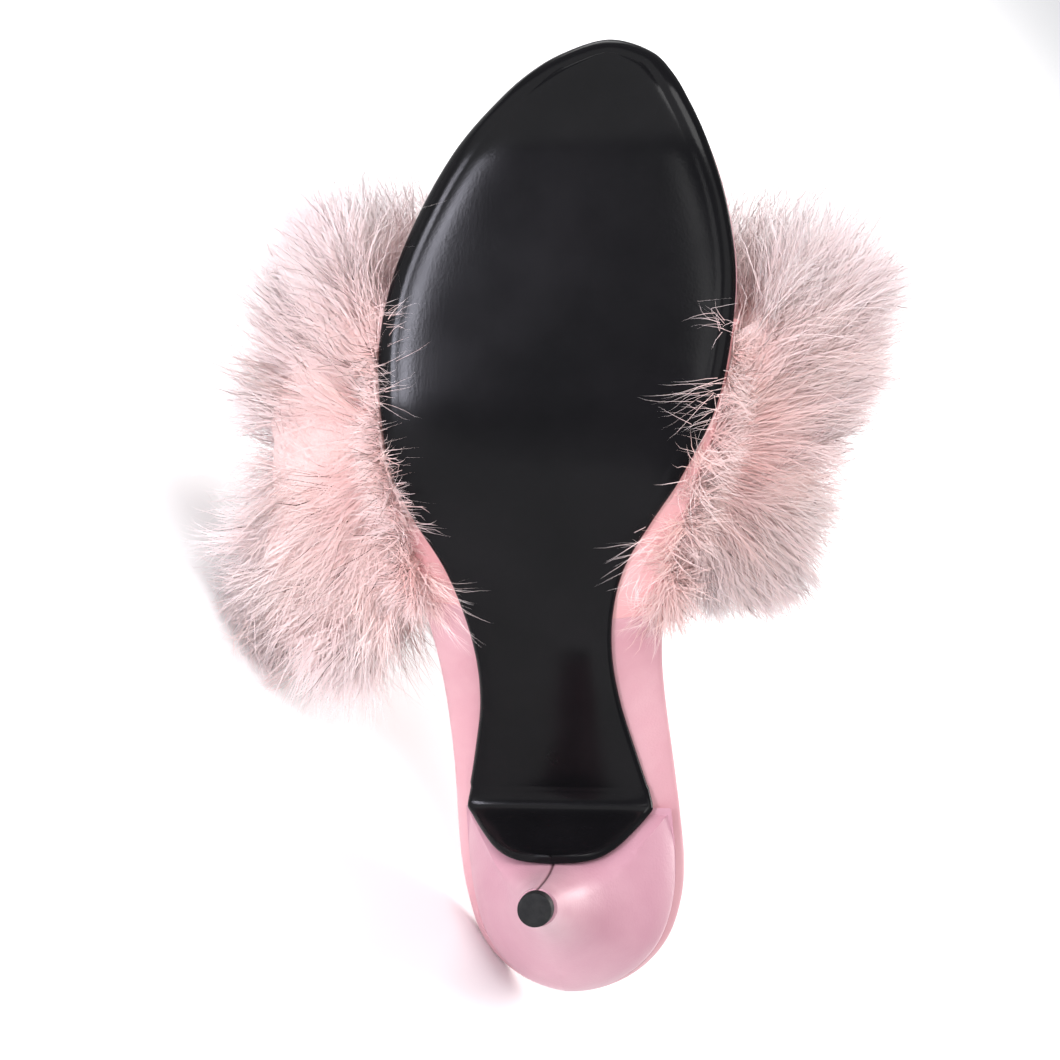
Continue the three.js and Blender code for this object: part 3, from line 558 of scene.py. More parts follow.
def footbed():
    rings = []
    both = stations(BED_OUTLINE, BED_STATIONS)
    for i in range(BED_STATIONS + 1):
        halves = []
        for (points, outs), side in zip(both, (1, -1)):
            along = points[i, 1] / LENGTH
            turn = 0 if side > 0 else 1
            inside = min(front_at(turn) - along, along - rear_at(turn)) * LENGTH + CLEARANCE
            wrap = (UPPER_WALL + CLEARANCE) * float(smoothstep(inside, -0.4, 0.2))
            thick, rim = bed_thickness(along), bed_half[side](along)
            dish = SEAT_DISH * (1 - smoothstep(along, *DISH_SPAN))
            (a0, h0), (a1, h1), (_, h2) = side_profile(along, side)
            rows = [(rim - a0 + 0.3 * wrap, h0 + wrap), (rim - a1 + 0.8 * wrap, h1 + 0.5 * wrap),
                    (wrap, h2), (wrap + 0.5, thick - 0.9), (wrap + 2.2, thick),
                    (wrap + 9, thick - 0.5 * dish)]
            fine = dense(np.array(rows, float), 4)
            edge = points[i] - outs[i] * fine[:, :1]
            halves.append(on_foot(np.clip(edge[:, 1] / LENGTH, 0, 1), edge[:, 0], fine[:, 1]))
        v = np.linspace(0, 1, 9)[1:-1, None]
        top = lerp(halves[0][-1], halves[1][-1], v)
        hollow = SEAT_DISH * (v * (1 - v))[:, 0]
        top[:, 2] -= hollow * (1 - smoothstep(top[:, 1] / LENGTH, *DISH_SPAN))
        rings.append(np.vstack([halves[0], top, halves[1][::-1]]))
    return shell("footbed_cover", np.array(rings), sharp=50)


# The upper

ridge_share = column(RIDGE)
even = np.arange(1, 20) / 20
ARCH_TURNS = lerp(even, 0.5 - 0.5 * np.cos(np.pi * even), 0.5)


def arch_form(along, side):
    """Where the rim and the ridge of the vamp stand across, and the heights of both."""
    rim = np.where(side > 0, bed_half[1](along), bed_half[-1](along))
    top = bed_thickness(along) + lerp(THROAT, INSTEP, ridge_share(along)) + UPPER_WALL
    return rim, RIDGE_SHARE * breadth(along), bed_thickness(along) * RIM_SHARE, top


def arch_point(along, turn):
    """Across and height of the vamp's outer skin. Turn 0 is the outer rim and turn 1 the inner."""
    along, turn = np.broadcast_arrays(np.asarray(along, float), np.asarray(turn, float))
    side = np.where(turn <= 0.5, 1, -1)
    rim, ridge, low, top = arch_form(along, side)
    angle = np.where(side > 0, turn, 1 - turn) * np.pi
    across = ridge + (side * rim - ridge) * np.maximum(np.cos(angle), 0) ** ARCH_ACROSS
    height = low + (top - low) * np.maximum(np.sin(angle), 0) ** ARCH_UP
    return np.stack([across, height], -1)


def section_line(along_of):
    """Rows of along, across, height: the lip under the footbed, the side, the arch and back."""
    rows = []
    for side, turn in ((1, 0), (-1, 1)):
        along = float(along_of(turn))
        profile = [(float(x), float(h)) for x, h in side_profile(along, side)]
        lip = [(along, side * x, h) for x, h in [(profile[0][0] - LASTING_LIP, 0), *profile]]
        rows.append(lip)
    along = along_of(ARCH_TURNS)
    arch = np.column_stack([along, arch_point(along, ARCH_TURNS)])
    return dense(np.vstack([rows[0], arch, rows[1][::-1]]), 4)


def normals_of(line):
    """The ways inwards from a section line."""
    step = np.diff(line[:, 1:], axis=0)
    way = unit(unit(np.vstack([step[:1], step])) + unit(np.vstack([step, step[-1:]])))
    return np.stack([-way[:, 1], way[:, 0]], -1)


# share of the binding's width, share of its rise: a piped edge, a stitched groove and a fold
BINDING = [(0, 0.3), (0.05, 0.75), (0.16, 1.02), (0.28, 1.08), (0.4, 0.95), (0.5, 0.45),
           (0.55, 0.36), (0.62, 0.55), (0.74, 0.85), (0.86, 0.8), (0.97, 0.35), (1.03, 0), (1.3, 0)]


def vamp():
    """The vamp's wall with its bindings. The second half of each ring is its lining."""
    share = BINDING_WIDTH / LENGTH
    rows = [(0, w, 0, rise) for w, rise in BINDING]
    rows += [(s, 0, 0, 0) for s in np.linspace(0, 1, 26)[2:-2]]
    rows += [(1, 0, w, rise) for w, rise in BINDING[::-1]]
    rings = []
    for middle, front, rear, rise in rows:
        def along_of(turn):
            return lerp(front_at(turn) - front * share, rear_at(turn) + rear * share, middle)

        line = section_line(along_of)
        inwards = normals_of(line)
        on_arch = smoothstep(line[:, 2], 0.5, bed_thickness(line[:, 0]))
        outer = line[:, 1:] - inwards * (rise * BINDING_RISE * on_arch)[:, None]
        inner = line[:, 1:] + inwards * UPPER_WALL
        both = [on_foot(line[:, 0], p[:, 0], p[:, 1]) for p in (outer, inner)]
        rings.append(np.vstack([both[0], both[1][::-1]]))
    half = len(rings[0]) // 2
    return shell("vamp", np.array(rings), strips=True, second=lambda k: k >= half)


# The heel and its top piece

SEAM_DEPTH, SEAM_WIDTH = 0.45, 0.34
# The cover's top ends a little inside the footbed's rim.
SEAT_INSET = 0.965
BACK_STATIONS, BREAST_STATIONS, HEEL_STATIONS = 64, 32, 73


def seam_profile(x):
    return np.exp(-((x / SEAM_WIDTH) ** 2))


def heel_ring(height, back, breast, width, rounded):
    """One level section, from the seat's outline to a circle as rounded goes from 0 to 1."""
    top = HEEL_SECTIONS[0]
    points = []
    for i in range(BACK_STATIONS + 1):
        angle = math.pi * i / BACK_STATIONS
        along = top[2] * (1 - math.sin(angle) ** 0.9)
        side = np.sign(BACK_STATIONS / 2 - i)
        across = SEAT_INSET * side * float(bed_half[side or 1](along)) / (SEAT_WIDTH / 2)
        square = np.array([across, along / top[2]])
        circle = np.array([math.cos(angle), 0.5 - 0.5 * math.sin(angle)])
        points.append(lerp(square, circle, rounded))
    spread = np.linspace(-1, 1, BREAST_STATIONS + 1)[1:-1]
    for u in np.sign(spread) * np.abs(spread) ** 1.7:
        angle = math.pi / 2 * (1 + u)
        square = np.array([-math.cos(angle) * abs(points[0][0]), 1])
        circle = np.array([-math.cos(angle), 0.5 + 0.5 * math.sin(angle)])
        points.append(lerp(square, circle, rounded))
    points = np.array(points)
    centre = STEM_OFFSET * width / top[3]
    x = centre + points[:, 0] * width * SEAT_WIDTH / 2
    y = (back + points[:, 1] * (breast - back)) * LENGTH
    seam = np.where(points[:, 1] > 0.75, SEAM_DEPTH * seam_profile(x - centre), 0)
    ceiling = seat_height(y / LENGTH) - 1.1 * CLEARANCE
    z = np.minimum(height * HEEL_HEIGHT, ceiling)
    return np.stack([x, y - seam, z], -1)


def heel():
    columns = [column(HEEL_SECTIONS, k) for k in range(1, 5)]
    top, bottom = HEEL_SECTIONS[0], HEEL_SECTIONS[-1]
    heights = lerp(top[0], bottom[0], np.linspace(0, 1, HEEL_STATIONS + 1))
    rings = [heel_ring(h, *(float(c(h)) for c in columns)) for h in heights]
    mesh = shell("heel_cover", np.array(rings), sharp=40, fans=(0, -1))
    p = upright(points_of(mesh))
    share = np.clip(p[:, 2] / HEEL_HEIGHT, bottom[0], top[0])
    back, breast, width = (columns[k](share) for k in range(3))
    in_front = smoothstep(p[:, 1] / LENGTH, lerp(back, breast, 0.7), lerp(back, breast, 0.85))
    centre = STEM_OFFSET * width / top[3]
    add_floats(mesh, seam=seam_profile(p[:, 0] - centre) * in_front)
    return mesh


def top_piece():
    radius = TOP_PIECE_DIAMETER / 2
    # share of the radius, height
    profile = [(0.55, 0), (0.84, 0.02), (0.94, 0.1), (0.975, 0.3), (0.985, 0.6), (1, 2.2),
               (1.01, 3.7), (1, 4.1), (0.965, 4.3), (0.98, TOP_PIECE_HEIGHT)]
    angles = 2 * np.pi * np.arange(64) / 64
    rings = []
    for r, z in profile:
        x, y = radius * r * np.cos(angles), TOP_PIECE_BACK + radius * r * np.sin(angles)
        rings.append(np.stack([x, y, np.full_like(x, z)], -1))
    return shell("heel_top_piece", np.array(rings), sharp=40, fans=(0, -1))


# The marabou

plume_depth, plume_behind, plume_ahead, plume_slant = (column(PLUME, k) for k in range(1, 5))
INSET = 1.2 * BINDING_WIDTH / LENGTH
CORE_ALONG, LEAST_LIFT = 0.57, 0.53
# How clear the down stays of the vamp with its margin, and of the sole's edge down to its depth.
VAMP_GAP, VAMP_MARGIN, EDGE_GAP, EDGE_DEPTH = 0.8, 0.012, 0.7, 4.2


def skin(share, turn):
    """A point of the vamp's skin: share 0 is its front binding and 1 its rear one."""
    along = lerp(front_at(turn) - INSET, rear_at(turn) + INSET, share)
    p = arch_point(along, turn)
    return on_foot(along, p[..., 0], p[..., 1])


def plume_frame(turn):
    """The middle of the down's section at a turn, and its ways towards the toe and outwards."""
    rear, front = skin(1, turn), skin(0, turn)
    middle, ahead = (front + rear) / 2, unit(front - rear)
    core = on_foot(CORE_ALONG, RIDGE_SHARE * BALL_WIDTH, -BED_THICK)
    out = middle - core
    out = unit(out - ahead * (out * ahead).sum(-1, keepdims=True))
    bulge = ((skin(0.5, turn) - middle) * out).sum(-1, keepdims=True)
    return middle + out * np.maximum(bulge, 0), ahead, out


def plume_point(turn, angle, scale):
    """The outer form of the down: angle 0 is its heel side and pi its toe side."""
    middle, ahead, out = plume_frame(turn)
    c, s = np.cos(angle), np.sin(angle)
    rounded = [np.sign(v) * np.abs(v) ** PLUME_ROUNDNESS for v in (c, s)]
    reach = np.where(c > 0, plume_behind(turn), plume_ahead(turn)) * PLUME_REACH * scale
    depth = plume_depth(turn) * PLUME_DEPTH * scale * (1 + plume_slant(turn) * c)
    away, lift = -rounded[0] * reach, lerp(LEAST_LIFT, 1, rounded[1]) * depth
    return middle + ahead * away[..., None] + out * lift[..., None]


def keep_clear(points):
    """Moves points of down out of the foot's room and out of the sole."""
    along = np.clip(points[..., 1] / LENGTH, 0, 1)
    height = (points[..., 2] - seat_height(along)) * up_at(along)[..., 2]
    x = points[..., 0]
    side = np.where(x > 0, 1, -1)
    rim, ridge, low, top = arch_form(along, side)
    c = np.clip((x - ridge) / (side * rim - ridge), 0, 1)
    sole = np.where(side > 0, sole_half[1](along), sole_half[-1](along))
    over = low + (top - low) * np.sqrt(1 - c ** (2 / ARCH_ACROSS)) ** ARCH_UP + VAMP_GAP
    turn = np.where(side > 0, 0.25, 0.75)
    on_vamp = (along < front_at(turn) + VAMP_MARGIN) & (along > rear_at(turn) - VAMP_MARGIN)
    within = on_vamp & (c < 1) & (height > low) & (height < over)
    up = np.where(within, over - height, 0)
    edge = lerp(sole, rim, np.clip(height / low, 0, 1)) + EDGE_GAP
    beside = (height > -EDGE_DEPTH) & (height <= low + 0.5) & (np.abs(x) < edge)
    out = np.where(beside, side * edge - x, 0)
    moved = points.copy()
    moved[..., 0] += out
    return moved + up_at(along) * up[..., None]


def add_floats(mesh, **columns):
    for name, values in columns.items():
        layer = mesh.attributes.new(name, "FLOAT", "POINT")
        layer.data.foreach_set("value", np.asarray(values, np.float32).ravel())


# Down that would come lower than PRESSED lies flat between both heights, and none leaves REACH.
FLOOR_GAP, PRESSED = 0.0003, 0.0014
REACH = np.array(CAD_BOX) + np.array([[-0.01, -0.01, -1], [0.01, 0.01, 0.01]])


FULL_TURN = 6.28
CORE_SCALE, LUMPS, LUMP_WAVE, LUMP_HEIGHT, LUMP_SINK = 0.83, 26, 0.15, 9, 1.5


def down_core(rng):
    """The dense middle of the down, which the loose barbs stand on."""
    turns = np.linspace(0.004, 0.996, 110)
    angles = np.radians(np.linspace(-14, 194, 60))
    shares = np.linspace(0, 1, 16)
    waves = rng.normal(size=(LUMPS, 3)) * LUMP_WAVE
    phases = rng.uniform(0, FULL_TURN, LUMPS)
    rings = []
    for turn in turns:
        inner = skin(shares, turn)
        outer = plume_point(turn, angles, CORE_SCALE)
        middle, _, out = plume_frame(turn)
        lump = np.abs(np.sin(outer @ waves.T + phases)).mean(-1) - 0.6
        lump = lump * LUMP_HEIGHT - LUMP_SINK
        outer = outer + unit(outer - middle - out * 6) * lump[:, None]
        rings.append(np.vstack([inner, keep_clear(outer)]))
    mesh = shell("down_core", np.array(rings), sharp=180, fans=(0, -1))
    points = points_of(mesh)
    points[:, 2] = np.maximum(points[:, 2], FLOOR_GAP)
    mesh.vertices.foreach_set("co", points.ravel())
    # The core's tone of 0.3 is the roots' own salmon, deepened as painted shade so the gaps between
    # the barbs read as depth.
    add_floats(mesh, tone=np.full(len(points), 0.3), tint=np.full(len(points), 0.5))
    return mesh


BARB_SHARES = np.array([0, 0.28, 0.54, 0.79, 1])
BARB_TAPER = np.array([1, 0.8, 0.55, 0.3]) / 2
BARB_WIDTH, BARB_POINTS, WAVINESS, CUT_BACK = (0.15, 0.28), 9, 0.055, 0.7


def barbs(start, first, last, size, width, tone, tint, face, rng, wave=None):
    """Ribbons that taper to a point, each bending from its first way to its last one. They lie flat
    to the way they face, and wave is the way, the turns and the start of each one's waviness."""
    n = len(start)
    u = BARB_SHARES
    line = start[:, None] + size[:, None, None] * (
        u[None, :, None] * first[:, None] + 0.5 * u[None, :, None] ** 2 * (last - first)[:, None])
    if wave is None:
        wave = unit(rng.normal(size=(n, 3))), rng.uniform(0.7, 1.9, n), rng.uniform(0, 1, n)
    sway, turns, phase = wave
    swing = np.sin(FULL_TURN * (u[None] * turns[:, None] + phase[:, None])) * u[None]
    line += sway[:, None] * (swing * size[:, None] * WAVINESS)[..., None]
    line = keep_clear(line)
    for _ in range(3):
        laid = lay(line)
        beyond = ((laid < REACH[0]) | (laid > REACH[1])).any((1, 2))
        line[beyond] = lerp(line[beyond, :1], line[beyond], CUT_BACK)
    laid = lay(line)
    low = laid[..., 2] < PRESSED
    laid[..., 2] = np.where(low, FLOOR_GAP + PRESSED * rng.uniform(0, 1, (n, 1)), laid[..., 2])
    line = upright(laid)
    face = np.where(low.any(1)[:, None], AXES[:, 2], face)
    run = unit(line[:, -1] - line[:, 0])
    across = unit(np.cross(unit(face + 0.35 * rng.normal(size=(n, 3))), run))
    half = width[:, None] * BARB_TAPER[None]
    left = line[:, :4] + across[:, None] * half[..., None]
    right = line[:, :4] - across[:, None] * half[..., None]
    points = np.concatenate([np.stack([left, right], 2).reshape(n, 8, 3), line[:, 4:]], 1)
    tones = np.clip(lerp(tone[:, :1], tone[:, 1:], np.r_[np.repeat(u[:4], 2), 1][None]), 0, 1)
    normals = unit(face + 0.3 * np.cross(run, across))
    tints, normals = (np.repeat(v[:, None], BARB_POINTS, 1) for v in (tint, normals))
    return points, tones, tints, normals


def ribbon_mesh(name, points, tones, tints, normals):
    """One mesh of many barbs, each of nine points: three quads and the triangle at its tip."""
    n = len(points)
    points = lay(points.reshape(-1, 3))
    points[:, 2] = np.maximum(points[:, 2], FLOOR_GAP / 2)
    base = (np.arange(n) * BARB_POINTS)[:, None]
    quads = base + np.array([0, 1, 3, 2, 2, 3, 5, 4, 4, 5, 7, 6])[None]
    corners = np.concatenate([quads, base + np.array([6, 7, 8])[None]], 1).ravel()
    starts = ((np.arange(n) * 15)[:, None] + np.array([0, 4, 8, 12])[None]).ravel()
    mesh = bpy.data.meshes.new(name)
    mesh.vertices.add(len(points))
    mesh.vertices.foreach_set("co", points.astype(np.float32).ravel())
    mesh.loops.add(len(corners))
    mesh.loops.foreach_set("vertex_index", corners.astype(np.int32))
    mesh.polygons.add(len(starts))
    mesh.polygons.foreach_set("loop_start", starts.astype(np.int32))
    mesh.polygons.foreach_set("use_smooth", np.ones(len(starts), bool))
    mesh.update(calc_edges=True)
    normals = normals.reshape(-1, 3) @ AXES
    normals[:, 2] = np.maximum(normals[:, 2], -0.15)
    mesh.normals_split_custom_set_from_vertices(unit(normals).tolist())
    add_floats(mesh, tone=tones, tint=tints)
    return mesh


def bezier(p, t):
    a, b, c, d = (q[:, None] for q in p)
    t = t[..., None]
    at = a * (1 - t) ** 3 + 3 * b * t * (1 - t) ** 2 + 3 * c * t ** 2 * (1 - t) + d * t ** 3
    way = 3 * ((b - a) * (1 - t) ** 2 + 2 * (c - b) * t * (1 - t) + (d - c) * t ** 2)
    return at, unit(way)


def flat(values):
    """Values of every barb of every feather in one row."""
    return values.reshape(-1, *values.shape[2:])


def spread_out(values, per):
    return np.repeat(values, per, axis=0)


def locks(rng, base, way, face, per, tone, length, spread=0.17, depth=7, width=BARB_WIDTH,
          root=1.5):
    """Soft locks: barbs that start near one point, bend one way and wave together."""
    count = len(base)
    n = count * per
    bend, sway = (spread_out(unit(rng.normal(size=(count, 3))), per) for _ in range(2))
    turns, phase = (spread_out(rng.uniform(*span, count), per) for span in ((0.7, 1.5), (0, 1)))
    wave = (unit(sway + 0.35 * rng.normal(size=(n, 3))), turns, phase + rng.normal(0, 0.06, n))
    base, way, face = (spread_out(v, per) for v in (base, way, face))
    first = unit(way + spread * rng.normal(size=(n, 3)))
    start = base + root * rng.normal(size=(n, 3))
    start += way * (rng.uniform(-0.5, 0.5, n) * depth)[:, None]
    last = unit(first + 0.7 * bend + 0.25 * rng.normal(size=(n, 3)))
    size = spread_out(length * rng.uniform(0.8, 1.15, count), per) * rng.uniform(0.65, 1.1, n)
    tones = spread_out(tone, per) + rng.normal(0, 0.04, (n, 1))
    tint = spread_out(rng.uniform(0, 1, count), per)
    return barbs(start, first, last, size, rng.uniform(*width, n), tones, tint, face, rng, wave)


LONGEST = 28


def toe_side(angle):
    """1 at the down's toe side, and 0 from its crest to its heel side."""
    return np.maximum(-np.cos(angle), 0)


def any_angle(rng, count, beyond=0.5):
    return rng.uniform(-beyond, np.pi + beyond, count)


def reach_from(rng, turn, angle, scale, least):
    """How long a lock is that ends a little outside the down's outer form, further at the toe."""
    middle, _, _ = plume_frame(turn)
    radius = np.linalg.norm(plume_point(turn, angle, 1) - middle, axis=-1)
    at_side = np.abs(2 * turn - 1)
    end = rng.uniform(0.98, 1.14, len(turn)) + (0.2 + 0.24 * at_side) * toe_side(angle)
    end += 0.13 * smoothstep(turn, 0.5, 0.1)
    return np.clip((end - scale) * radius, least, LONGEST)


def outer_locks(rng, count, per):
    """Locks that stand out all over the down's outer form, as close on its crest as elsewhere."""
    turn = rng.beta(0.85, 0.85, count)
    across = rng.uniform(-1, 1, count)
    over = np.arccos(np.sign(across) * np.abs(across) ** (1 / PLUME_ROUNDNESS))
    angle = np.where(rng.uniform(0, 1, count) < 0.55, over, any_angle(rng, count))
    scale = rng.uniform(0.66, 0.88, count)
    base = plume_point(turn, angle, scale)
    middle, _, _ = plume_frame(turn)
    face = unit(base - middle)
    over_foot = np.sin(np.pi * turn)[:, None]
    way = unit(face + lerp(0.3, 0.85, over_foot) * rng.normal(size=(count, 3)))
    tone = np.stack([scale - 0.3, scale + 0.1], -1)
    length = reach_from(rng, turn, angle, scale, 10) + 4 * over_foot[:, 0]
    return locks(rng, base, way, face, per, tone, length, root=2.4)


def side_locks(rng, count, per):
    """Locks over both flat ends of the down beside the sole, combed away from the sole's edge."""
    inner = rng.uniform(0, 1, count) < 0.46
    turn = np.where(inner, 1 - rng.uniform(0, 0.03, count), rng.uniform(0, 0.03, count))
    angle = any_angle(rng, count)
    scale = rng.uniform(0.01, 0.93, count) ** 0.72
    base = plume_point(turn, angle, scale)
    middle, ahead, out = plume_frame(turn)
    side = np.where(inner, 1, -1)[:, None] * unit(np.cross(ahead, out))
    base = base - side * rng.uniform(-3, 1, (count, 1))
    away = unit(base - middle + out * 4)
    way = unit(away - 0.2 * side + 0.22 * rng.normal(size=(count, 3)))
    tone = np.stack([scale * 0.8 - 0.12, scale * 0.8 + 0.26], -1)
    length = np.minimum(reach_from(rng, turn, angle, scale, 9), 19 + 9 * toe_side(angle))
    return locks(rng, base, way, unit(-side + 0.5 * away), per, tone, length, depth=9)


def plumes(rng, count, per):
    """Whole feathers: a hidden curved stem from the vamp, with barbs all along its outer part."""
    turn = rng.beta(0.75, 0.75, count)
    angle = any_angle(rng, count, 0.45)
    share = np.clip(1 - angle / np.pi + rng.normal(0, 0.1, count), 0, 1)
    root = skin(share, turn)
    reach = rng.uniform(0.8, 0.98, count)
    tip = plume_point(np.clip(turn + rng.normal(0, 0.03, count), 0, 1), angle, reach)
    middle, _, out = plume_frame(turn)
    size = np.linalg.norm(tip - root, axis=-1, keepdims=True)
    outwards = unit(tip - middle)
    end_way = unit(outwards + 0.35 * rng.normal(size=(count, 3)))
    first_way = unit(out + 0.25 * rng.normal(size=(count, 3)))
    control = (root, root + first_way * size * 0.35, tip - end_way * size * 0.3, tip)
    t = rng.uniform(0.45, 1, (count, per))
    start, way = bezier(control, t)
    side = rng.normal(size=(count, per, 3))
    side = unit(side - way * (side * way).sum(-1, keepdims=True))
    open_by = np.radians(lerp(55, 14, t) + rng.normal(0, 7, t.shape))[..., None]
    first = way * np.cos(open_by) + side * np.sin(open_by)
    last = unit(first + 0.4 * unit(rng.normal(size=(count, per, 3))) + 0.4 * outwards[:, None])
    length = rng.uniform(8, 16, t.shape)
    begin = np.clip(t * 0.8 * reach[:, None], 0, 1)
    tones = np.stack([begin, np.clip(begin + 0.35, 0, 1)], -1)
    tint = np.repeat(rng.uniform(0, 1, count)[:, None], per, 1)
    face = np.repeat(outwards[:, None], per, 1)
    width = rng.uniform(*BARB_WIDTH, t.shape)
    return barbs(*map(flat, (start, first, last, length, width, tones, tint, face)), rng)


def fringe(rng, count):
    """Long fine strands that stand out of the outer form, and short curled ones that blur it."""
    turn = rng.beta(0.7, 0.7, count)
    angle = any_angle(rng, count, 0.45)
    scale = rng.uniform(0.78, 0.96, count) + 0.24 * toe_side(angle)
    start = plume_point(turn, angle, scale)
    middle, _, _ = plume_frame(turn)
    face = unit(start - middle)
    way = unit(face + 0.4 * rng.normal(size=(count, 3)))
    last = unit(way + 0.9 * rng.normal(size=(count, 3)))
    is_long = rng.uniform(0, 1, count) < 0.4
    long, short = rng.uniform(13, 23, count), rng.uniform(5, 10, count)
    size = np.where(is_long, long, short + 6 * toe_side(angle))
    tone = np.stack([scale * 0.8, scale * 0.8 + 0.3], -1)
    width = rng.uniform(0.09, 0.16, count)
    return barbs(start, way, last, size, width, tone, rng.uniform(0, 1, count), face, rng)


def root_tufts(rng, count, per):
    """Short ruched tufts along both sides of the sole, where the feathers are sewn down. Towards
    the waist they also bend in over the vamp's edge, as far as the sole, and a quarter of them
    stand at its rear binding and point back."""
    inner = rng.uniform(0, 1, count) < 0.5
    depth = rng.uniform(0, 0.06, count)
    turn = np.where(inner, 1 - depth, depth)
    share = rng.uniform(0, 1, count) ** 0.8 * 1.03
    rear = smoothstep(share, 0.3, 0.6)
    below = np.array([0, 0, -1.0])
    _, ahead, out = plume_frame(turn)
    at_end = rng.uniform(0, 1, count) < 0.25
    share = np.where(at_end, rng.uniform(0.93, 1.04, count), share)
    base = skin(share, turn) + below * rng.uniform(0, 4, (count, 1))
    gust = 0.25 + 0.75 * np.abs(np.sin(11 * share + 2 * inner))
    outwards = rng.uniform(0.1, 0.9, count) - rear * gust * rng.uniform(0, 1, count)
    onwards = rng.normal(0, 0.35, count) - np.where(at_end, rng.uniform(0.3, 1.2, count), 0)
    down_by = rng.uniform(0.1, 0.6, (count, 1))
    way = unit(out * outwards[:, None] + below * down_by + ahead * onwards[:, None])
    tone = np.stack([rng.uniform(0, 0.3, count), rng.uniform(0.3, 0.8, count)], -1)
    length = 9 + 4 * rear + 3 * at_end
    return locks(rng, base, way, unit(out + 1.5 * below), per, tone, length, spread=0.3, depth=3)


# where a wisp strays over the sole: across and along in millimetres, its way, its length
WISPS = [(40, 156, (-0.9, -0.5), 13), (38, 150, (-1, 0.2), 9), (27, 108, (-0.8, -0.6), 14),
         (24, 100, (-0.6, -0.9), 12), (-42, 152, (0.9, -0.35), 15), (-41, 145, (1, 0.1), 11),
         (-27, 118, (0.8, -0.5), 13), (-24, 110, (0.7, -0.9), 11), (37, 98, (0.1, -1), 26),
         (39, 100, (0.25, -1), 24), (36, 168, (-0.9, 0.5), 9), (-44, 166, (0.8, 0.5), 9)]


def wisps(rng, per):
    base = np.array([on_foot(y / LENGTH, x, -5.4) for x, y, _, _ in WISPS])
    way = unit(np.array([(*w[2], -0.1) for w in WISPS]))
    face = np.repeat([[0, 0, -1.0]], len(WISPS), 0)
    tone = np.repeat([[0.25, 0.9]], len(WISPS), 0)
    length = np.array([w[3] for w in WISPS])
    return locks(rng, base, way, face, per, tone, length, spread=0.34, depth=4, width=(0.06, 0.12))


def joined(*parts):
    return [np.concatenate(columns) for columns in zip(*parts)]


# The whole shoe

cover = smooth_leather("pink_leather", (0.66, 0.37, 0.405), (0.58, 0.28, 0.32))
heel_paint = smooth_leather(
    "heel_cover", (0.55, 0.3, 0.355), (0.48, 0.235, 0.295), wrinkle=0.25, seamed=True)
vamp_paint = smooth_leather("vamp_leather", (0.8, 0.44, 0.44), (0.7, 0.32, 0.33), 0.8)
lining = smooth_leather("lining", (0.85, 0.55, 0.58), (0.78, 0.45, 0.48), 0.4)

add_object("outsole_leather", outsole(), [sole_leather()], "outsole")
add_object("footbed_cover", footbed(), [cover], "footbed")
add_object("vamp", vamp(), [vamp_paint, lining], "upper")
add_object("heel_cover", heel(), [heel_paint], "heel")
add_object("heel_top_piece", top_piece(), [rubber()], "top_piece")

rng = np.random.default_rng(11)
down_paint = down("marabou_down")
core_paint = down("marabou_core")
core_paint.bump(core_paint.noise(700, 5), 0.0012, 1)
add_object("down_core", down_core(rng), [core_paint.material], "marabou")

FEATHER_PIECES, PLUMES = 5, 40
LOCKS = 180
SIDE_BARBS, OUTER_BARBS, TUFT_BARBS, WISP_BARBS = 44, 42, 27, 18
for piece in range(FEATHER_PIECES):
    parts = [side_locks(rng, LOCKS, SIDE_BARBS), outer_locks(rng, int(LOCKS * 1.2), OUTER_BARBS),
             plumes(rng, PLUMES, LOCKS // 2), fringe(rng, 11 * LOCKS),
             root_tufts(rng, LOCKS // 2, TUFT_BARBS)]
    if piece == 0:
        parts.append(wisps(rng, WISP_BARBS))
    name = f"down_feathers_{piece + 1}"
    add_object(name, ribbon_mesh(name, *joined(*parts)), [down_paint.material])

# Floor, light and camera

floor_mesh = bpy.data.meshes.new("floor")
corners = [(-4, -4, 0), (4, -4, 0), (4, 4, 0), (-4, 4, 0)]
floor_mesh.from_pydata(corners, [], [(0, 1, 2, 3)])
floor_paint = Paint("floor", Roughness=0.7)
FLOOR_STOPS = [(0.3, (0.94, 0.94, 0.945)), (0.7, (0.96, 0.96, 0.96))]
floor_paint.colour(floor_paint.ramp(floor_paint.noise(3, 2), FLOOR_STOPS))
floor_mesh.materials.append(floor_paint.material)
linked("floor", floor_mesh)

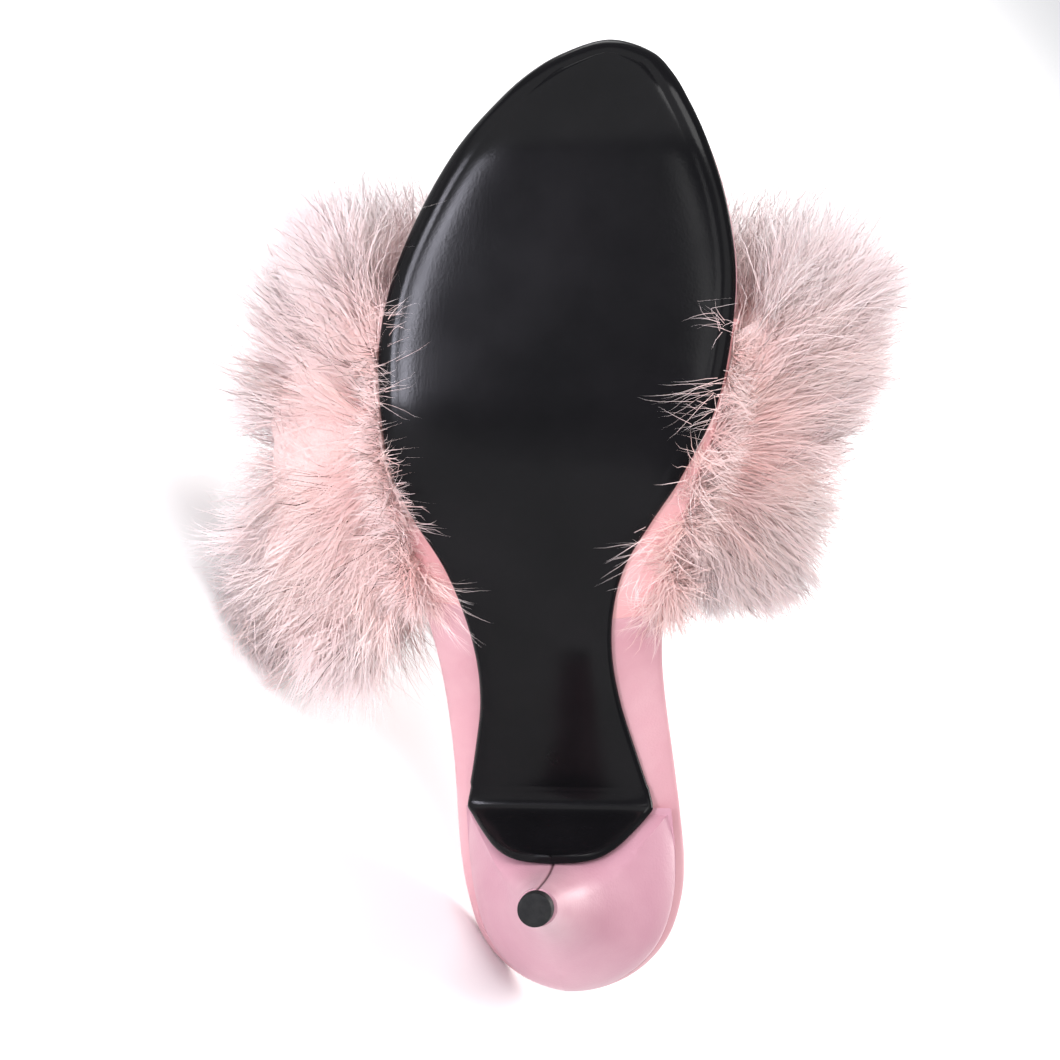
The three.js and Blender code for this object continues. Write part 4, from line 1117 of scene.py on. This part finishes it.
world = bpy.data.worlds.new("pale")
world.use_nodes = True
sky = world.node_tree.nodes["Background"].inputs
sky["Color"].default_value = (0.95, 0.96, 1, 1)
sky["Strength"].default_value = 0.45
bpy.context.scene.world = world
bpy.context.scene.view_settings.view_transform = "Standard"


def direction(x, y, z):
    """A way given in the upright shoe's axes, as the shoe lies."""
    return Vector(lay((x, y, z)) - lay((0, 0, 0))).normalized()


LIT_POINT = Vector((0, 0, 0.09))


def add_light(name, kind, way, distance=1.5, roll=0, **settings):
    """A light that stands some way from the shoe and shines at its middle."""
    light = bpy.data.lights.new(name, kind)
    for key, value in settings.items():
        setattr(light, key, value)
    obj = linked(name, light)
    obj.location = LIT_POINT + Vector(way).normalized() * distance
    obj.rotation_euler = (LIT_POINT - obj.location).to_track_quat("-Z", "Y").to_euler()
    obj.rotation_euler.rotate_axis("Z", math.radians(roll))


add_light("key", "SUN", direction(-0.45, 0.6, -0.8), energy=1.4, angle=math.radians(26))
add_light("fill", "AREA", (-0.7, -0.75, 0.5), size=1.2, energy=6)
add_light("back", "AREA", (0.4, 0.8, 0.6), size=0.9, energy=22, color=(1, 0.96, 0.94))
add_light("edge", "AREA", (-0.267, -0.963, 0.036), 1.1, -50,
          shape="RECTANGLE", size=0.4, size_y=0.08, energy=6, color=(0.88, 0.87, 1))
add_light("far_edge", "AREA", (-0.02, -0.92, 0.39), 1.1,
          shape="RECTANGLE", size=0.35, size_y=0.1, energy=0.5)
add_light("front", "AREA", (0.35, -0.55, 0.76), size=0.9, energy=4)
add_light("toe", "AREA", (-0.859, 0.387, 0.363), 1.3, size=0.5, energy=4)

# millimetres in the upright shoe's axes
CAMERA_SPOT, CAMERA_TARGET = (-90.8, 123.7, -650), (1, 118.5, 0)
camera_data = bpy.data.cameras.new("camera")
camera_data.lens, camera_data.sensor_width = 95, 36
camera = linked("camera", camera_data)
back = Vector(lay(CAMERA_SPOT) - lay(CAMERA_TARGET)).normalized()
right = direction(0, 1, 0).cross(back).normalized()
axes = Matrix((right, back.cross(right), back)).transposed()
camera.matrix_world = Matrix.Translation(Vector(lay(CAMERA_SPOT))) @ axes.to_4x4()
bpy.context.scene.camera = camera

bpy.context.view_layer.update()
